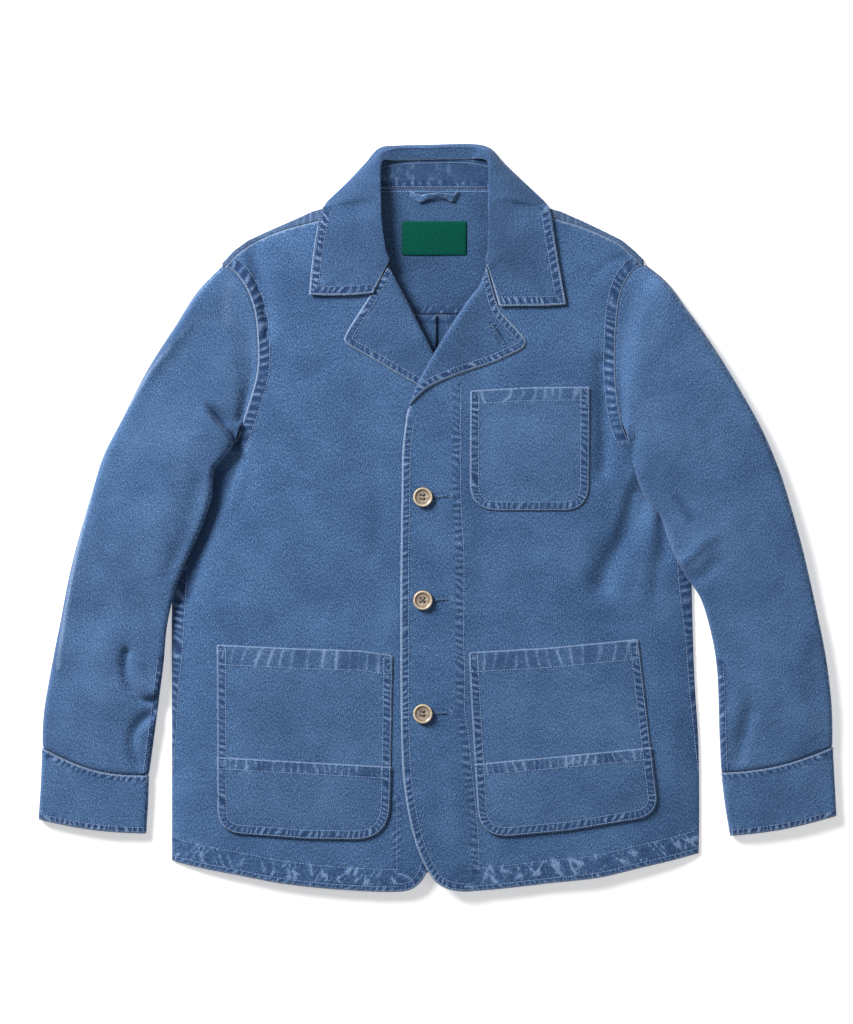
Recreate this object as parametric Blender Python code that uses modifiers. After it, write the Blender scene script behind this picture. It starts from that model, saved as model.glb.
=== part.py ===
# Shirt jacket in washed cotton, closed with its three buttons and laid flat on its back.
# Seen from above: +X is the viewer's right, +Y runs from the hem to the collar, +Z is up.
# "right" and "left" are the wearer's, so the right front lies on the -X side.
# Lengths below are in millimetres and become metres where a mesh is made.
import math

import bmesh
import bpy
import numpy as np
from mathutils import Vector
from mathutils.geometry import delaunay_2d_cdt

MM = 0.001
WALL = 1.2              # one thickness of cloth
GAP = 0.3               # between pieces at a seam
LAYER = WALL + GAP      # from one layer to the next
FOLD_RADIUS = LAYER / 2  # middle line of cloth folded flat on itself

BODY_RISE = 8.5         # how far the fronts lift off the back inside the body
RISE_REACH = 35.0       # distance over which they lift, from a closed edge
NECK_LIFT = 1.6         # the yoke rests on the turned-down collar by this much
NECK_OUTSIDE, NECK_EASE_X = 150.0, 30.0    # not outside this x, easing in over this distance
NECK_BELOW, NECK_EASE_Y = 262.0, 46.0      # and the same up the yoke
NECK_SIDE = 90.0        # the shoulder lines end at the neck here
NECK_SLOPE = 0.1        # and rise this much a millimetre towards the middle
CREASE_END = 0.6        # a fold fades to this share past its ends
CREASE_EASE = 12.0      # folds die out this near the body's side
PRESS_EASE = 25.0       # and the pressed places this near it
LAP_LIFT = 3.6          # left front above the right one, where it laps over it
LAP_START, LAP_END = 14.0, 52.0    # the lap eases off between these x
PANEL_STEP = 24.0       # spacing of the points that shape the fronts
EDGE_STEP = 24.0        # and of those along their outlines
EDGE_FREE = 0.42        # share of a step kept free of points beside an outline
POINT_FREE = 0.4        # and round the points placed by hand
NET_CORNER = (-300.0, -410.0)      # the net's lower left corner
NET_SIZE = (620.0, 760.0)          # and how far it reaches

BUTTON_STEPS = 24
BUTTON_X = -15.5
BUTTON_Y = (22.0, -87.0, -207.0)
# radius and height of a button's turned rim, from its underside round to its flat middle
BUTTON_PROFILE = ((9.3, 0.0), (10.5, 1.3), (10.5, 2.9), (9.6, 4.2), (8.1, 3.9), (6.5, 2.6))
SHANK_RADIUS = 1.5
SHANK_CLEAR = 0.5       # the button stands off the cloth by this much
HOLE_RADIUS = 0.95      # the four holes, on a circle
HOLE_CIRCLE = 2.9
HOLE_SIDES = 8
EYE_RADIUS = 2.4        # the buttonhole's round end
SLIT_HALF = 0.5         # half the width of a cut
SLIT_LENGTH = 28.0
LAPEL_SLIT = ((57, 205.5), (69, 186))

# ---------------------------------------------------------------- outlines
# Each table is one line on the garment, in rows of x, y.
SHOULDER_FOLD_RIGHT = ((-229, 270), (-216, 284), (-201, 295), (-178, 305.5), (-154, 316),
                       (-133, 325.5), (-120, 329), (-105, 333), (-90, 337))
SHOULDER_FOLD_LEFT = ((222, 271), (209, 284), (196, 295), (175, 305.5), (153, 316),
                      (131, 325.5), (118, 329), (103, 333), (88, 337))
SHOULDER_SEAM_RIGHT = ((-226, 266), (-213, 280), (-199, 290.5), (-176, 301.5), (-160, 307),
                       (-124, 316), (-97, 322))
SHOULDER_SEAM_LEFT = ((219, 267), (206, 280), (194, 290.5), (172, 301.5), (148, 311),
                      (119, 319), (95, 324))
ARMHOLE_RIGHT = ((-226, 266), (-217, 262), (-209, 253), (-202, 242), (-194, 219), (-191, 192),
                 (-191, 157), (-199, 125), (-208, 98), (-214, 83))
ARMHOLE_LEFT = ((219, 267), (211, 265), (204, 257), (198, 247), (193, 230), (190, 203),
                (189, 157), (192, 121), (198, 94), (204, 83))
UNDERARM_RIGHT = ((-214, 83), (-245, 76), (-276, 68))
UNDERARM_LEFT = ((204, 83), (235, 76), (267, 67))
BACK_ARMHOLE_RIGHT = ((-228, 268), (-213, 240), (-207, 205), (-209, 170), (-221, 132),
                      (-244, 98), (-276, 68))
BACK_ARMHOLE_LEFT = ((221, 269), (209, 240), (203, 205), (204, 170), (214, 132),
                     (236, 98), (267, 67))
SIDE_RIGHT = ((-276, 68), (-280, 0), (-282, -90), (-282, -230), (-282, -364))
SIDE_LEFT = ((267, 67), (269, -10), (270, -72), (273, -171), (277, -235), (278, -300), (277.5, -356))
HEM_RIGHT = ((-282, -364), (-252, -371), (-209, -379), (-167, -387), (-114, -393), (-61, -396),
             (-42, -396))
HEM_LEFT = ((34, -395.5), (66, -393), (119, -387), (172, -381), (215, -371), (246, -364),
            (277.5, -356))
BACK_HEM = ((-281, -362), (-209, -376), (-114, -389), (0, -393), (119, -384), (215, -368),
            (276.5, -354))
NECK_RIGHT = ((-97, 320.4), (-82, 300), (-66, 280), (-52, 269))
NECK_LEFT = ((95, 322), (80, 303), (65, 284), (52, 269))
ROLL_RIGHT = ((-52, 269), (-42, 250), (-29, 225), (-17, 201), (-4, 175), (4, 152), (9, 114))
ROLL_LEFT = ((52, 269), (45, 248), (30, 228), (13, 202), (-3, 176), (-16, 153), (-25, 134),
             (-31, 116), (-34, 99))
EDGE_RIGHT = ((9, 114), (9, -87), (8, -225), (6, -278), (2, -325), (-4, -354), (-10, -372),
              (-17, -385), (-27, -393), (-42, -396))
EDGE_LEFT = ((-34, 99), (-37, 72), (-38, 19), (-39, -45), (-39, -193), (-38, -246), (-36, -278),
             (-31, -312), (-25, -338), (-18, -358), (-10, -374), (-2, -385), (9, -392), (22, -395),
             (34, -395.5))
LAPEL_RIGHT = ((-52, 269), (-60, 255), (-69, 240), (-84, 216), (-97, 195), (-99, 188), (-93, 182),
               (-72, 170), (-50, 157), (-31, 146), (-13, 136), (4, 132), (4, 152))
LAPEL_LEFT = ((-31, 116), (-21, 128), (-9, 138), (10, 147), (34, 156), (58, 164), (78, 173),
              (91, 180), (94, 187), (88, 196), (76, 209), (66, 221), (58, 246), (52, 269))

# x, y and corner radius of each pocket, clockwise from the top left
POCKET_CHEST = ((34.5, 135, 2), (98, 138.5, 0), (161.5, 139, 2), (161, 51, 0), (160.5, 7.5, 28),
                (34, 7.5, 30))
POCKET_RIGHT = ((-234, -134, 2), (-146, -138, 0), (-82, -140, 0), (-47, -145, 3), (-49, -267, 0),
                (-51, -341, 38), (-135, -340, 0), (-233, -333, 26))
POCKET_LEFT = ((33, -142, 2), (119, -137, 0), (213, -128, 3), (218, -172, 0), (231, -283, 0),
               (236, -315, 26), (140, -331, 0), (44, -340, 34), (35.5, -193, 0))
OVERLAY_TOP_RIGHT = ((-240, -252.5), (-40, -263.5))
OVERLAY_TOP_LEFT = ((30, -261), (240, -241.5))

# ------------------------------------------------------- folds of the fronts
# from x, y to x, y, half width, and height (a trough where negative)
CREASES = (
    {"name": "armhole_right", "start": (-196, 292), "end": (-177, 205), "width": 9, "height": -1.6},
    {"name": "diagonal_left", "start": (212, 30), "end": (172, -70), "width": 17, "height": -2.6},
    {"name": "beside_pocket", "start": (176, 165), "end": (175, 48), "width": 11, "height": -1.8},
    {"name": "below_sleeve_left", "start": (240, -5), "end": (247, -60), "width": 9, "height": -1.6},
    {"name": "chest_right", "start": (-150, 140), "end": (-80, -40), "width": 26, "height": 1.2},
    {"name": "waist_right", "start": (-225, -60), "end": (-120, -105), "width": 20, "height": -1.3},
    {"name": "below_chest_pocket", "start": (60, -15), "end": (140, -80), "width": 22, "height": 1.1},
    {"name": "shoulder_left", "start": (170, 245), "end": (110, 190), "width": 15, "height": 1.0},
)
# x, y, radius and depth of the places that the sleeves press flat
PRESSED = ((-238, 30, 62, 4.2), (238, 28, 58, 4.2))

# --------------------------------------------------------- sleeves and cuffs
# one row a section: outer x, y, inner x, y, height, and how much of the armhole's bow is left
# in the upper wall and in the lower one
SLEEVE_RIGHT = (
    (-228, 268, -214, 83, 3.2, 1.0, 1.0),
    (-256, 236, -219, 73, 12.0, 0.72, 0.86),
    (-284, 196, -227, 63, 14.5, 0.46, 0.66),
    (-310, 154, -236, 52, 15.5, 0.26, 0.44),
    (-334, 106, -238, 38, 15.5, 0.12, 0.26),
    (-354, 66, -239, 22, 15.0, 0.0, 0.12),
    (-366, 28, -244, 6, 15.0, 0.0, 0.0),
    (-378, -12, -252, -15, 15.0, 0.0, 0.0),
    (-387, -46, -262, -37, 14.0, 0.0, 0.0),
    (-394, -78, -273, -62, 13.0, 0.0, 0.0),
    (-400, -110, -281, -88, 12.0, 0.0, 0.0),
    (-406, -140, -287, -118, 12.5, 0.0, 0.0),
    (-412, -172, -290, -152, 11.5, 0.0, 0.0),
    (-417, -202, -294, -184, 12.0, 0.0, 0.0),
    (-419, -226, -299, -222, 11.0, 0.0, 0.0),
    (-419, -243, -306, -272.5, 10.0, 0.0, 0.0),
)
SLEEVE_LEFT = (
    (221, 269, 204, 83, 3.2, 1.0, 1.0),
    (245, 246, 205, 72, 12.0, 0.72, 0.86),
    (271, 214, 207, 60, 14.5, 0.46, 0.66),
    (297, 176, 210, 46, 15.5, 0.26, 0.44),
    (321, 136, 216, 30, 15.5, 0.12, 0.26),
    (343, 96, 224, 16, 15.0, 0.0, 0.12),
    (362, 52, 236, 2, 15.0, 0.0, 0.0),
    (376, 8, 243, -18, 15.0, 0.0, 0.0),
    (387, -32, 250, -38, 14.5, 0.0, 0.0),
    (396, -70, 262, -60, 13.5, 0.0, 0.0),
    (403, -102, 279, -86, 12.5, 0.0, 0.0),
    (410, -136, 290, -122, 12.5, 0.0, 0.0),
    (415, -168, 296, -156, 12.0, 0.0, 0.0),
    (418, -198, 298, -190, 12.0, 0.0, 0.0),
    (419, -222, 299, -226, 11.0, 0.0, 0.0),
    (419, -242, 301, -269.5, 10.0, 0.0, 0.0),
)
CUFF_RIGHT = (
    (-419.5, -243.8, -306, -273.3, 10.0, 0, 0),
    (-421, -282, -307, -303, 9.6, 0, 0),
    (-423.5, -319.5, -309, -334.5, 9.0, 0, 0),
)
CUFF_LEFT = (
    (419.5, -242.8, 301, -270.3, 10.0, 0, 0),
    (421.5, -280, 305, -304, 9.6, 0, 0),
    (423.5, -315.5, 310.5, -337, 9.0, 0, 0),
)
CUFF_HEM_BOW = 3.5      # the cuff's edge dips this much between its corners
REST_CLEAR = 1.2        # a sleeve over the body's side clears it by this much
EDGE_CLEAR = 2.2        # and by this much more where it passes the body's edge
EDGE_FADE = 15.0        # which is gone this far in
SETTLE = 0.85           # share of that lift taken out of the sleeve's thickness
SEAM_RAMP = 26.0        # it starts to rise this far before the underarm seam
REST_START = 6.0        # it comes down to the surface from this far outside the body
REST_RAMP = 22.0        # over this distance
MIN_SLEEVE = 6.5        # and is this thick where the body lifts it
SLEEVE_CROWN = 2.4      # the sleeves' middle stands above their folds
CUFF_CROWN = 1.2

# ------------------------------------------------------------------- collar
# base x, y, then top x, y, z: the stand's two edges from one gorge round the neck to the other.
# A base z of None means that it lies on the front there.
STAND = (
    (-55.5, 272, None, -53.0, 273, 12.4),
    (-68, 285, None, -57.5, 286, 13.2),
    (-83, 304, None, -60.5, 312, 14.2),
    (-97, 324, None, -62.0, 340, 14.0),
    (-94, 343, 5.6, -62.0, 366, 11.5),
    (-77, 349.5, 3.4, -58.5, 382, 8.4),
    (-55, 349.5, 2.2, -49.0, 387.5, 5.8),
    (-28, 349.5, 2.2, -28.0, 390.5, 5.4),
    (-2, 349.5, 2.2, -2.0, 391, 5.2),
    (26, 349.5, 2.2, 26.0, 391.5, 5.4),
    (50, 349.5, 2.2, 43.0, 388.5, 5.8),
    (73, 349.5, 3.4, 52.5, 382, 8.4),
    (92, 343, 5.6, 56.0, 366, 11.5),
    (96, 325.5, None, 56.0, 340, 14.0),
    (81, 306, None, 56.0, 312, 14.2),
    (67, 288, None, 54.5, 286, 13.2),
    (55.5, 272, None, 53.0, 273, 12.4),
)
# roll x, y, z, then edge x, y: the leaves, which lie on the fronts
LEAF_RIGHT = (
    (-51.5, 271.5, 13.9, -68.5, 238),
    (-53, 275, 14.3, -92, 236),
    (-55.5, 281, 14.6, -116, 235.5),
    (-57.5, 289, 14.9, -136, 236.5),
    (-60, 305, 15.4, -133, 268),
    (-61.5, 320, 15.7, -128, 302),
    (-62, 333, 15.7, -122.5, 326),
)
LEAF_LEFT = (
    (51.5, 271.5, 13.9, 65.5, 224),
    (53, 275, 14.3, 90, 224.5),
    (54, 281, 14.6, 114, 224.5),
    (55, 289, 14.9, 136, 226),
    (56, 305, 15.4, 129, 265),
    (56, 320, 15.7, 123, 301),
    (56, 333, 15.7, 119.5, 326),
)
# roll x, y, z, turn x, y, radius of the turn, then edge x, y: the fall where it passes
# over the shoulders and lies under the yoke
WRAP = (
    (-62, 341, 15.6, -119, 338, 2.4, -119.5, 335),
    (-62, 350, 15.0, -108, 344, 2.6, -111, 327),
    (-62, 364, 13.4, -92, 359.5, 2.9, -93, 320),
    (-61.5, 378, 11.6, -76, 376.5, 3.2, -76, 316),
    (-56, 386.5, 9.8, -62, 391.5, 3.6, -57, 314),
    (-40, 391, 7.6, -40.5, 394.2, 3.2, -38, 313),
    (-2, 392, 6.9, -2, 395, 3.0, -1, 312),
    (34, 392.5, 7.2, 34.5, 395.8, 3.1, 34, 313),
    (49.5, 387.5, 9.8, 56, 391.5, 3.6, 52, 314),
    (56, 378, 11.6, 70, 376.5, 3.2, 71, 316),
    (56, 364, 13.4, 88, 359.5, 2.9, 89, 320),
    (56, 350, 15.0, 104.5, 344, 2.6, 107.5, 327),
    (56, 341, 15.6, 116, 338, 2.4, 116.5, 335),
)
LEAF_CLEAR = 0.5        # the leaves lie this much above the lapels' layer
CREST = 1.0             # the roll stands up by this much just outside the stand
CREST_AT = 0.1          # share of the leaf's depth where it stands
STAND_CLEAR = 0.5       # the stand's foot above the front it is sewn to
ACROSS_STAND = (0, 0.25, 0.5, 0.75, 1)
# shares of a leaf's depth where its points lie: on a leaf, and where the fall turns over
LEAF_SHARES = ((0, 0), (0.1, 0.35), (0.22, 0.7), (0.36, 0.93), (0.52, 0.95), (0.68, 0.97),
               (0.84, 0.985), (1, 1))
FIRST_TURNING = 2       # the leaf row from which they shift

LABEL = ((-38.0, 315.0, 3), (31.0, 315.0, 3), (31.0, 279.0, 3), (-38.0, 279.0, 3))
LABEL_THICK = 1.0
LABEL_CLEAR = 0.4
LABEL_STEP = 12.0

# the hanger loop's middle line, and how it twists
LOOP = ((-27, 345, 4.2), (-21, 342.5, 5.6), (-13, 340.5, 7.4), (-3, 340, 8.4), (7, 340.5, 7.6),
        (15, 342, 5.8), (20, 345, 4.2))
LOOP_HALF = 2.6
LOOP_THICK = 1.0
LOOP_TILT, LOOP_TWIST = 20.0, 50.0     # degrees at its ends, and more in its middle

# ----------------------------------------------------------- back panel pleat
PLEAT_X = 4.0
PLEAT_HALF = 17.0       # half the box's width, on the outside
PLEAT_MEET = 6.5        # half the opening between its folds, on the inside
PLEAT_EASE = 24.0       # the cloth comes down from the pleat over this distance
PLEAT_AT_HEM = 0.65     # its width there, as a share of its width at the yoke
PLEAT_LENGTH = 500.0    # from the hem up to its full width
YOKE_SEAM_Y = 216.0
BACK_LEVELS = (-393, -376, -330, -260, -180, -90, 0, 66, 98, 132, 170, 205, YOKE_SEAM_Y - GAP)
HEM_TURN = 14.0         # the second row keeps this far above the hem
BACK_SHARES_RIGHT = (0, 0.35, 0.7, 1)      # points from the side to the pleat
BACK_SHARES_LEFT = (0, 0.3, 0.65, 1)       # and from the pleat to the other side

# x of each line of points up the yoke and over the shoulders
YOKE_STATIONS = (-226, -219, -211, -201, -178, -154, -133, -118, -104, -90, -74, -50, -25, 0, 25, 50,
                 74, 88, 103, 118, 131, 153, 175, 196, 205, 212, 219)
YOKE_SHARES = (0, 0.3, 0.6, 0.85, 1)
YOKE_TURN = 88.0        # the yoke turns over the shoulders outside this x
NECK_CORNER = 98.0      # the fronts' shoulder seams end at the neck inside this x
BACK_NECK_Y = 347.0
PIT_Y = 67.0            # the armholes end here
EDGE_INSETS = (6.0, 16.0)      # points just inside a closed edge, where the cloth turns up
SEAM_INSET = 0.5        # a front stops this much short of the armhole's line
BACK_INSET = 1.0        # and the back and yoke this much

SIDES = (
    {"name": "right", "inward": 1, "fold": SHOULDER_FOLD_RIGHT, "seam": SHOULDER_SEAM_RIGHT,
     "armhole": ARMHOLE_RIGHT, "back_armhole": BACK_ARMHOLE_RIGHT, "underarm": UNDERARM_RIGHT,
     "side": SIDE_RIGHT, "hem": HEM_RIGHT[::-1], "neck": NECK_RIGHT, "roll": ROLL_RIGHT,
     "edge": EDGE_RIGHT, "sleeve": SLEEVE_RIGHT, "cuff": CUFF_RIGHT},
    {"name": "left", "inward": -1, "fold": SHOULDER_FOLD_LEFT, "seam": SHOULDER_SEAM_LEFT,
     "armhole": ARMHOLE_LEFT, "back_armhole": BACK_ARMHOLE_LEFT, "underarm": UNDERARM_LEFT,
     "side": SIDE_LEFT, "hem": HEM_LEFT, "neck": NECK_LEFT, "roll": ROLL_LEFT,
     "edge": EDGE_LEFT, "sleeve": SLEEVE_LEFT, "cuff": CUFF_LEFT},
)
ACROSS = (0, 0.13, 0.27, 0.42, 0.58, 0.75, 0.88, 1)   # points across a sleeve's flat wall
TO_PIT = 0.75           # the share of them before the underarm seam
END_ANGLES = (0, 40, 90)    # points round a sleeve's fold


def smooth(value):
    """Ease from 0 to 1 between 0 and 1."""
    value = np.clip(value, 0.0, 1.0)
    return value * value * (3.0 - 2.0 * value)


def read(table, value, axis):
    """Where a line that runs along one axis stands on the other."""
    rows = sorted((row[axis], row[1 - axis]) for row in table)
    return float(np.interp(value, [row[0] for row in rows], [row[1] for row in rows]))


def divide(points, step):
    """A line with points added so that none are farther apart than step."""
    out = []
    for (x0, y0), (x1, y1) in zip(points, points[1:]):
        count = max(1, math.ceil(math.hypot(x1 - x0, y1 - y0) / step - 1e-6))
        for k in range(count):
            out.append((x0 + (x1 - x0) * k / count, y0 + (y1 - y0) * k / count))
    out.append(tuple(points[-1]))
    return out


def along(points, fraction):
    """The point at a fraction of a line's length."""
    array = np.array(points, float)
    lengths = np.concatenate(([0.0], np.cumsum(np.hypot(*np.diff(array, axis=0).T))))
    at = fraction * lengths[-1]
    return np.array([np.interp(at, lengths, array[:, 0]), np.interp(at, lengths, array[:, 1])])


def rounded(corners, steps=4):
    """A closed outline with an arc at each corner that has a radius."""
    out = []
    for k, (x, y, radius) in enumerate(corners):
        corner = Vector((x, y))
        if radius <= 0:
            out.append((x, y))
            continue
        before = (Vector(corners[k - 1][:2]) - corner).normalized()
        after = (Vector(corners[(k + 1) % len(corners)][:2]) - corner).normalized()
        start = corner + before * radius
        end = corner + after * radius
        count = steps if radius > 10 else 1
        for j in range(count + 1):
            t = j / count
            point = start * (1 - t) ** 2 + corner * 2 * t * (1 - t) + end * t ** 2
            out.append((point.x, point.y))
    return out


def inside(outline, x, y):
    """True where a point lies in a closed outline."""
    hit = False
    for (x0, y0), (x1, y1) in zip(outline, outline[1:] + outline[:1]):
        if (y0 > y) != (y1 > y) and x < x0 + (x1 - x0) * (y - y0) / (y1 - y0):
            hit = not hit
    return hit


# ------------------------------------------------------------ the drape's form
def neck_lift(x, y):
    """How far the yoke stands off the surface, over the turned-down collar."""
    across = smooth((NECK_OUTSIDE - abs(x)) / NECK_EASE_X)
    return NECK_LIFT * float(smooth((y - NECK_BELOW) / NECK_EASE_Y) * across)


def top_edge(x):
    """The y at which the back and the fronts are joined, along the shoulders and neck."""
    table = SHOULDER_FOLD_RIGHT if x < 0 else SHOULDER_FOLD_LEFT
    return read(table, x, 0) + max(0.0, NECK_SIDE - abs(x)) * NECK_SLOPE


def near_segment(x, y, start, end):
    """Distance to a segment, and how far along it the nearest point is, from 0 to 1."""
    dx, dy = end[0] - start[0], end[1] - start[1]
    t = ((x - start[0]) * dx + (y - start[1]) * dy) / (dx * dx + dy * dy)
    t_in = min(1.0, max(0.0, t))
    return math.hypot(x - start[0] - dx * t_in, y - start[1] - dy * t_in), t


def drape(x, y):
    """Height of the right front's underside, which the other layers follow."""
    from_right = x - read(SIDE_RIGHT, y, 1)
    from_left = read(SIDE_LEFT, y, 1) - x
    side = max(0.0, min(from_right, from_left))
    top = max(0.0, top_edge(x) - y)
    rise = BODY_RISE * (1 - math.exp(-side / RISE_REACH)) * (1 - math.exp(-top / RISE_REACH))
    for crease in CREASES:
        distance, t = near_segment(x, y, crease["start"], crease["end"])
        fade = (1.0 if 0 <= t <= 1 else CREASE_END) * side / (side + CREASE_EASE)
        rise += crease["height"] * fade * math.exp(-(distance / crease["width"]) ** 2)
    for px, py, radius, depth in PRESSED:
        distance = math.hypot(x - px, y - py)
        rise -= depth * math.exp(-(distance / radius) ** 2) * side / (side + PRESS_EASE)
    return neck_lift(x, y) + LAYER + max(0.0, rise)


def lap(x, y):
    """Height of the left front's underside."""
    return drape(x, y) + LAP_LIFT * (1.0 - float(smooth((x - LAP_START) / (LAP_END - LAP_START))))


# -------------------------------------------------------------- making meshes
def material(name, red, green, blue, roughness):
    """A plain finish in linear colour."""
    made = bpy.data.materials.new(name)
    made.use_nodes = True
    shader = made.node_tree.nodes["Principled BSDF"]
    shader.inputs["Base Color"].default_value = (red, green, blue, 1.0)
    shader.inputs["Roughness"].default_value = roughness
    shader.inputs["Metallic"].default_value = 0.0
    made.diffuse_color = (red, green, blue, 1.0)
    return made


def add_object(name, mesh_or_bmesh, finish, collection):
    """Put a mesh in the scene under its part's name."""
    if isinstance(mesh_or_bmesh, bmesh.types.BMesh):
        bmesh.ops.recalc_face_normals(mesh_or_bmesh, faces=mesh_or_bmesh.faces)
        mesh = bpy.data.meshes.new(name)
        mesh_or_bmesh.to_mesh(mesh)
        mesh_or_bmesh.free()
    else:
        mesh = mesh_or_bmesh
    mesh.materials.append(finish)
    mesh.shade_smooth()
    mesh.set_sharp_from_angle(angle=math.radians(40))
    made = bpy.data.objects.new(name, mesh)
    collection.objects.link(made)
    return made


def panel_net(outlines, holes, extra):
    """One net of triangles over the fronts, which holds every outline as edges.

    A pocket, lapel or overlay is then made from the panel's own points, moved out."""
    points, edges = [], []
    for outline in list(outlines.values()) + holes:
        first = len(points)
        ring = divide(outline + outline[:1], EDGE_STEP)[:-1]
        points += ring
        edges += [(first + k, first + (k + 1) % len(ring)) for k in range(len(ring))]
    fixed = np.array(points)
    hull = outlines["panel"]
    grid = list(extra)
    row_height = PANEL_STEP * math.sqrt(3) / 2
    for j in range(int(NET_SIZE[1] / row_height)):
        for i in range(int(NET_SIZE[0] / PANEL_STEP)):
            grid.append((NET_CORNER[0] + PANEL_STEP * (i + 0.5 * (j % 2)), NET_CORNER[1] + row_height * j))
    kept = []
    for x, y in grid:
        near_edge = np.min(np.hypot(fixed[:, 0] - x, fixed[:, 1] - y)) < EDGE_FREE * PANEL_STEP
        if near_edge or not inside(hull, x, y):
            continue
        near = min((math.hypot(x - a, y - b) for a, b in kept[:len(extra)]), default=PANEL_STEP)
        if near < POINT_FREE * PANEL_STEP:
            continue
        kept.append((x, y))
    points = [Vector(p) for p in points + kept]
    verts, _, faces, _, _, _ = delaunay_2d_cdt(points, edges, [], 0, 1e-4)
    return [tuple(v) for v in verts], faces


def slab(name, net, outline, holes, under, finish, collection, wall=WALL):
    """The net's triangles within an outline, as a wall that lies on a height function."""
    verts, faces = net
    picked = []
    for face in faces:
        x = sum(verts[k][0] for k in face) / 3
        y = sum(verts[k][1] for k in face) / 3
        if inside(outline, x, y) and not any(inside(hole, x, y) for hole in holes):
            picked.append(face)
    work = bmesh.new()
    low, high = {}, {}
    for k in sorted({k for face in picked for k in face}):
        x, y = verts[k]
        z = under(x, y)
        low[k] = work.verts.new((x * MM, y * MM, z * MM))
        high[k] = work.verts.new((x * MM, y * MM, (z + wall) * MM))
    open_edges = {}
    for face in picked:
        work.faces.new([high[k] for k in face])
        work.faces.new([low[k] for k in reversed(face)])
        for a, b in zip(face, face[1:] + face[:1]):
            if (b, a) in open_edges:
                del open_edges[(b, a)]
            else:
                open_edges[(a, b)] = True
    for a, b in open_edges:
        work.faces.new([low[a], low[b], high[b], high[a]])
    return add_object(name, work, finish, collection)


def sheet(name, rows, finish, collection, wall=WALL, even=True):
    """A shell through rows of middle-line points, with its thickness from Solidify."""
    work = bmesh.new()
    verts = [[work.verts.new((x * MM, y * MM, z * MM)) for x, y, z in row] for row in rows]
    for one, two in zip(verts, verts[1:]):
        for k in range(min(len(one), len(two)) - 1):
            work.faces.new([one[k], one[k + 1], two[k + 1], two[k]])
    made = add_object(name, work, finish, collection)
    thick = made.modifiers.new("wall", "SOLIDIFY")
    thick.thickness = wall * MM
    thick.offset = 0.0
    thick.use_even_offset = even
    return made


def fold_arc(x, z, turn, steps=3):
    """Middle line of a flat fold: from one layer to the next, bulging to turn's side."""
    out = []
    for k in range(steps + 1):
        angle = -math.pi / 2 + math.pi * k / steps
        out.append((x + turn * FOLD_RADIUS * math.cos(angle), z + FOLD_RADIUS * (1 + math.sin(angle))))
    return out


# ------------------------------------------------------------------ the pieces
def make_back(finish, collection):
    """Back panel with a box pleat: its folds lie behind the box and narrow towards the hem."""
    rows = []
    for index, level in enumerate(BACK_LEVELS):
        edges = []
        for side in SIDES:
            line = side["back_armhole"] if level > PIT_Y else side["side"]
            inset = BACK_INSET if level >= PIT_Y - 1 else GAP
            edges.append(read(line, level, 1) + side["inward"] * inset)
        open_out = float(smooth((level - BACK_LEVELS[0]) / PLEAT_LENGTH))
        half = PLEAT_HALF * (PLEAT_AT_HEM + (1 - PLEAT_AT_HEM) * open_out)
        folds = [(PLEAT_X - half, WALL / 2 + 2 * LAYER)]
        folds += fold_arc(PLEAT_X - PLEAT_MEET, WALL / 2 + LAYER, 1)[::-1]
        folds += fold_arc(PLEAT_X - half, WALL / 2, -1)[::-1]
        near, far = PLEAT_X - half - PLEAT_EASE, PLEAT_X + half + PLEAT_EASE
        path = [(edges[0] + (near - edges[0]) * t, WALL / 2) for t in BACK_SHARES_RIGHT]
        path += folds + [(2 * PLEAT_X - x, z) for x, z in folds[::-1]]
        path += [(far + (edges[1] - far) * t, WALL / 2) for t in BACK_SHARES_LEFT]
        row = []
        for x, z in path:
            hem = read(BACK_HEM, x, 0)
            y = hem if index == 0 else max(level, hem + HEM_TURN)
            row.append((x, y, z))
        rows.append(row)
    return sheet("back_panel", rows, finish, collection)


def make_yoke(finish, collection):
    """Back yoke: flat behind the shoulders, and turned over them to the fronts' seam."""
    rows = []
    for x in YOKE_STATIONS:
        side = SIDES[0] if x < 0 else SIDES[1]
        hole = [row for row in side["back_armhole"] if row[1] > YOKE_SEAM_Y - HEM_TURN]
        bottom = YOKE_SEAM_Y
        if abs(x) > abs(read(hole, YOKE_SEAM_Y, 1)) - BACK_INSET:
            bottom = max(bottom, read(hole, x - side["inward"] * BACK_INSET, 0))
        turned = abs(x) >= YOKE_TURN
        top = BACK_NECK_Y
        if turned:
            top = read(side["fold"], x, 0) - FOLD_RADIUS - WALL / 2
        row = []
        for t in YOKE_SHARES:
            y = bottom + (top - bottom) * t
            row.append((x, y, neck_lift(x, y) + WALL / 2))
        if turned:
            row += [(x, y, z) for y, z in fold_arc(top, neck_lift(x, top) + WALL / 2, 1)[1:]]
            end = min(top - GAP, read(side["seam"], x, 0) + GAP / 2)
            row.append((x, end, drape(x, end) + WALL / 2))
        rows.append(row)
    return sheet("back_yoke", rows, finish, collection, even=False)


def rest_height(x, y):
    """What a sleeve's underside lies on: the body's side, the back's armhole, or the surface."""
    side = SIDES[0] if x < 0 else SIDES[1]
    outside = (read(side["side"], y, 1) - x) * side["inward"]
    below_seam = float(smooth((read(side["underarm"], x, 0) + SEAM_RAMP - y) / SEAM_RAMP * 2))
    if outside < 0:
        on_body = drape(x, y) + WALL + REST_CLEAR + EDGE_CLEAR * math.exp(outside / EDGE_FADE)
    else:
        reach = 1.0 - float(smooth((outside - REST_START) / REST_RAMP))
        on_body = reach * (LAYER + WALL + REST_CLEAR + EDGE_CLEAR)
    past_armhole = (read(side["back_armhole"], y, 1) - x) * side["inward"]
    on_back = (WALL + 2 * GAP) * (1.0 - float(smooth((past_armhole - REST_START) / REST_RAMP)))
    return max(below_seam * on_body, on_back)


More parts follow.
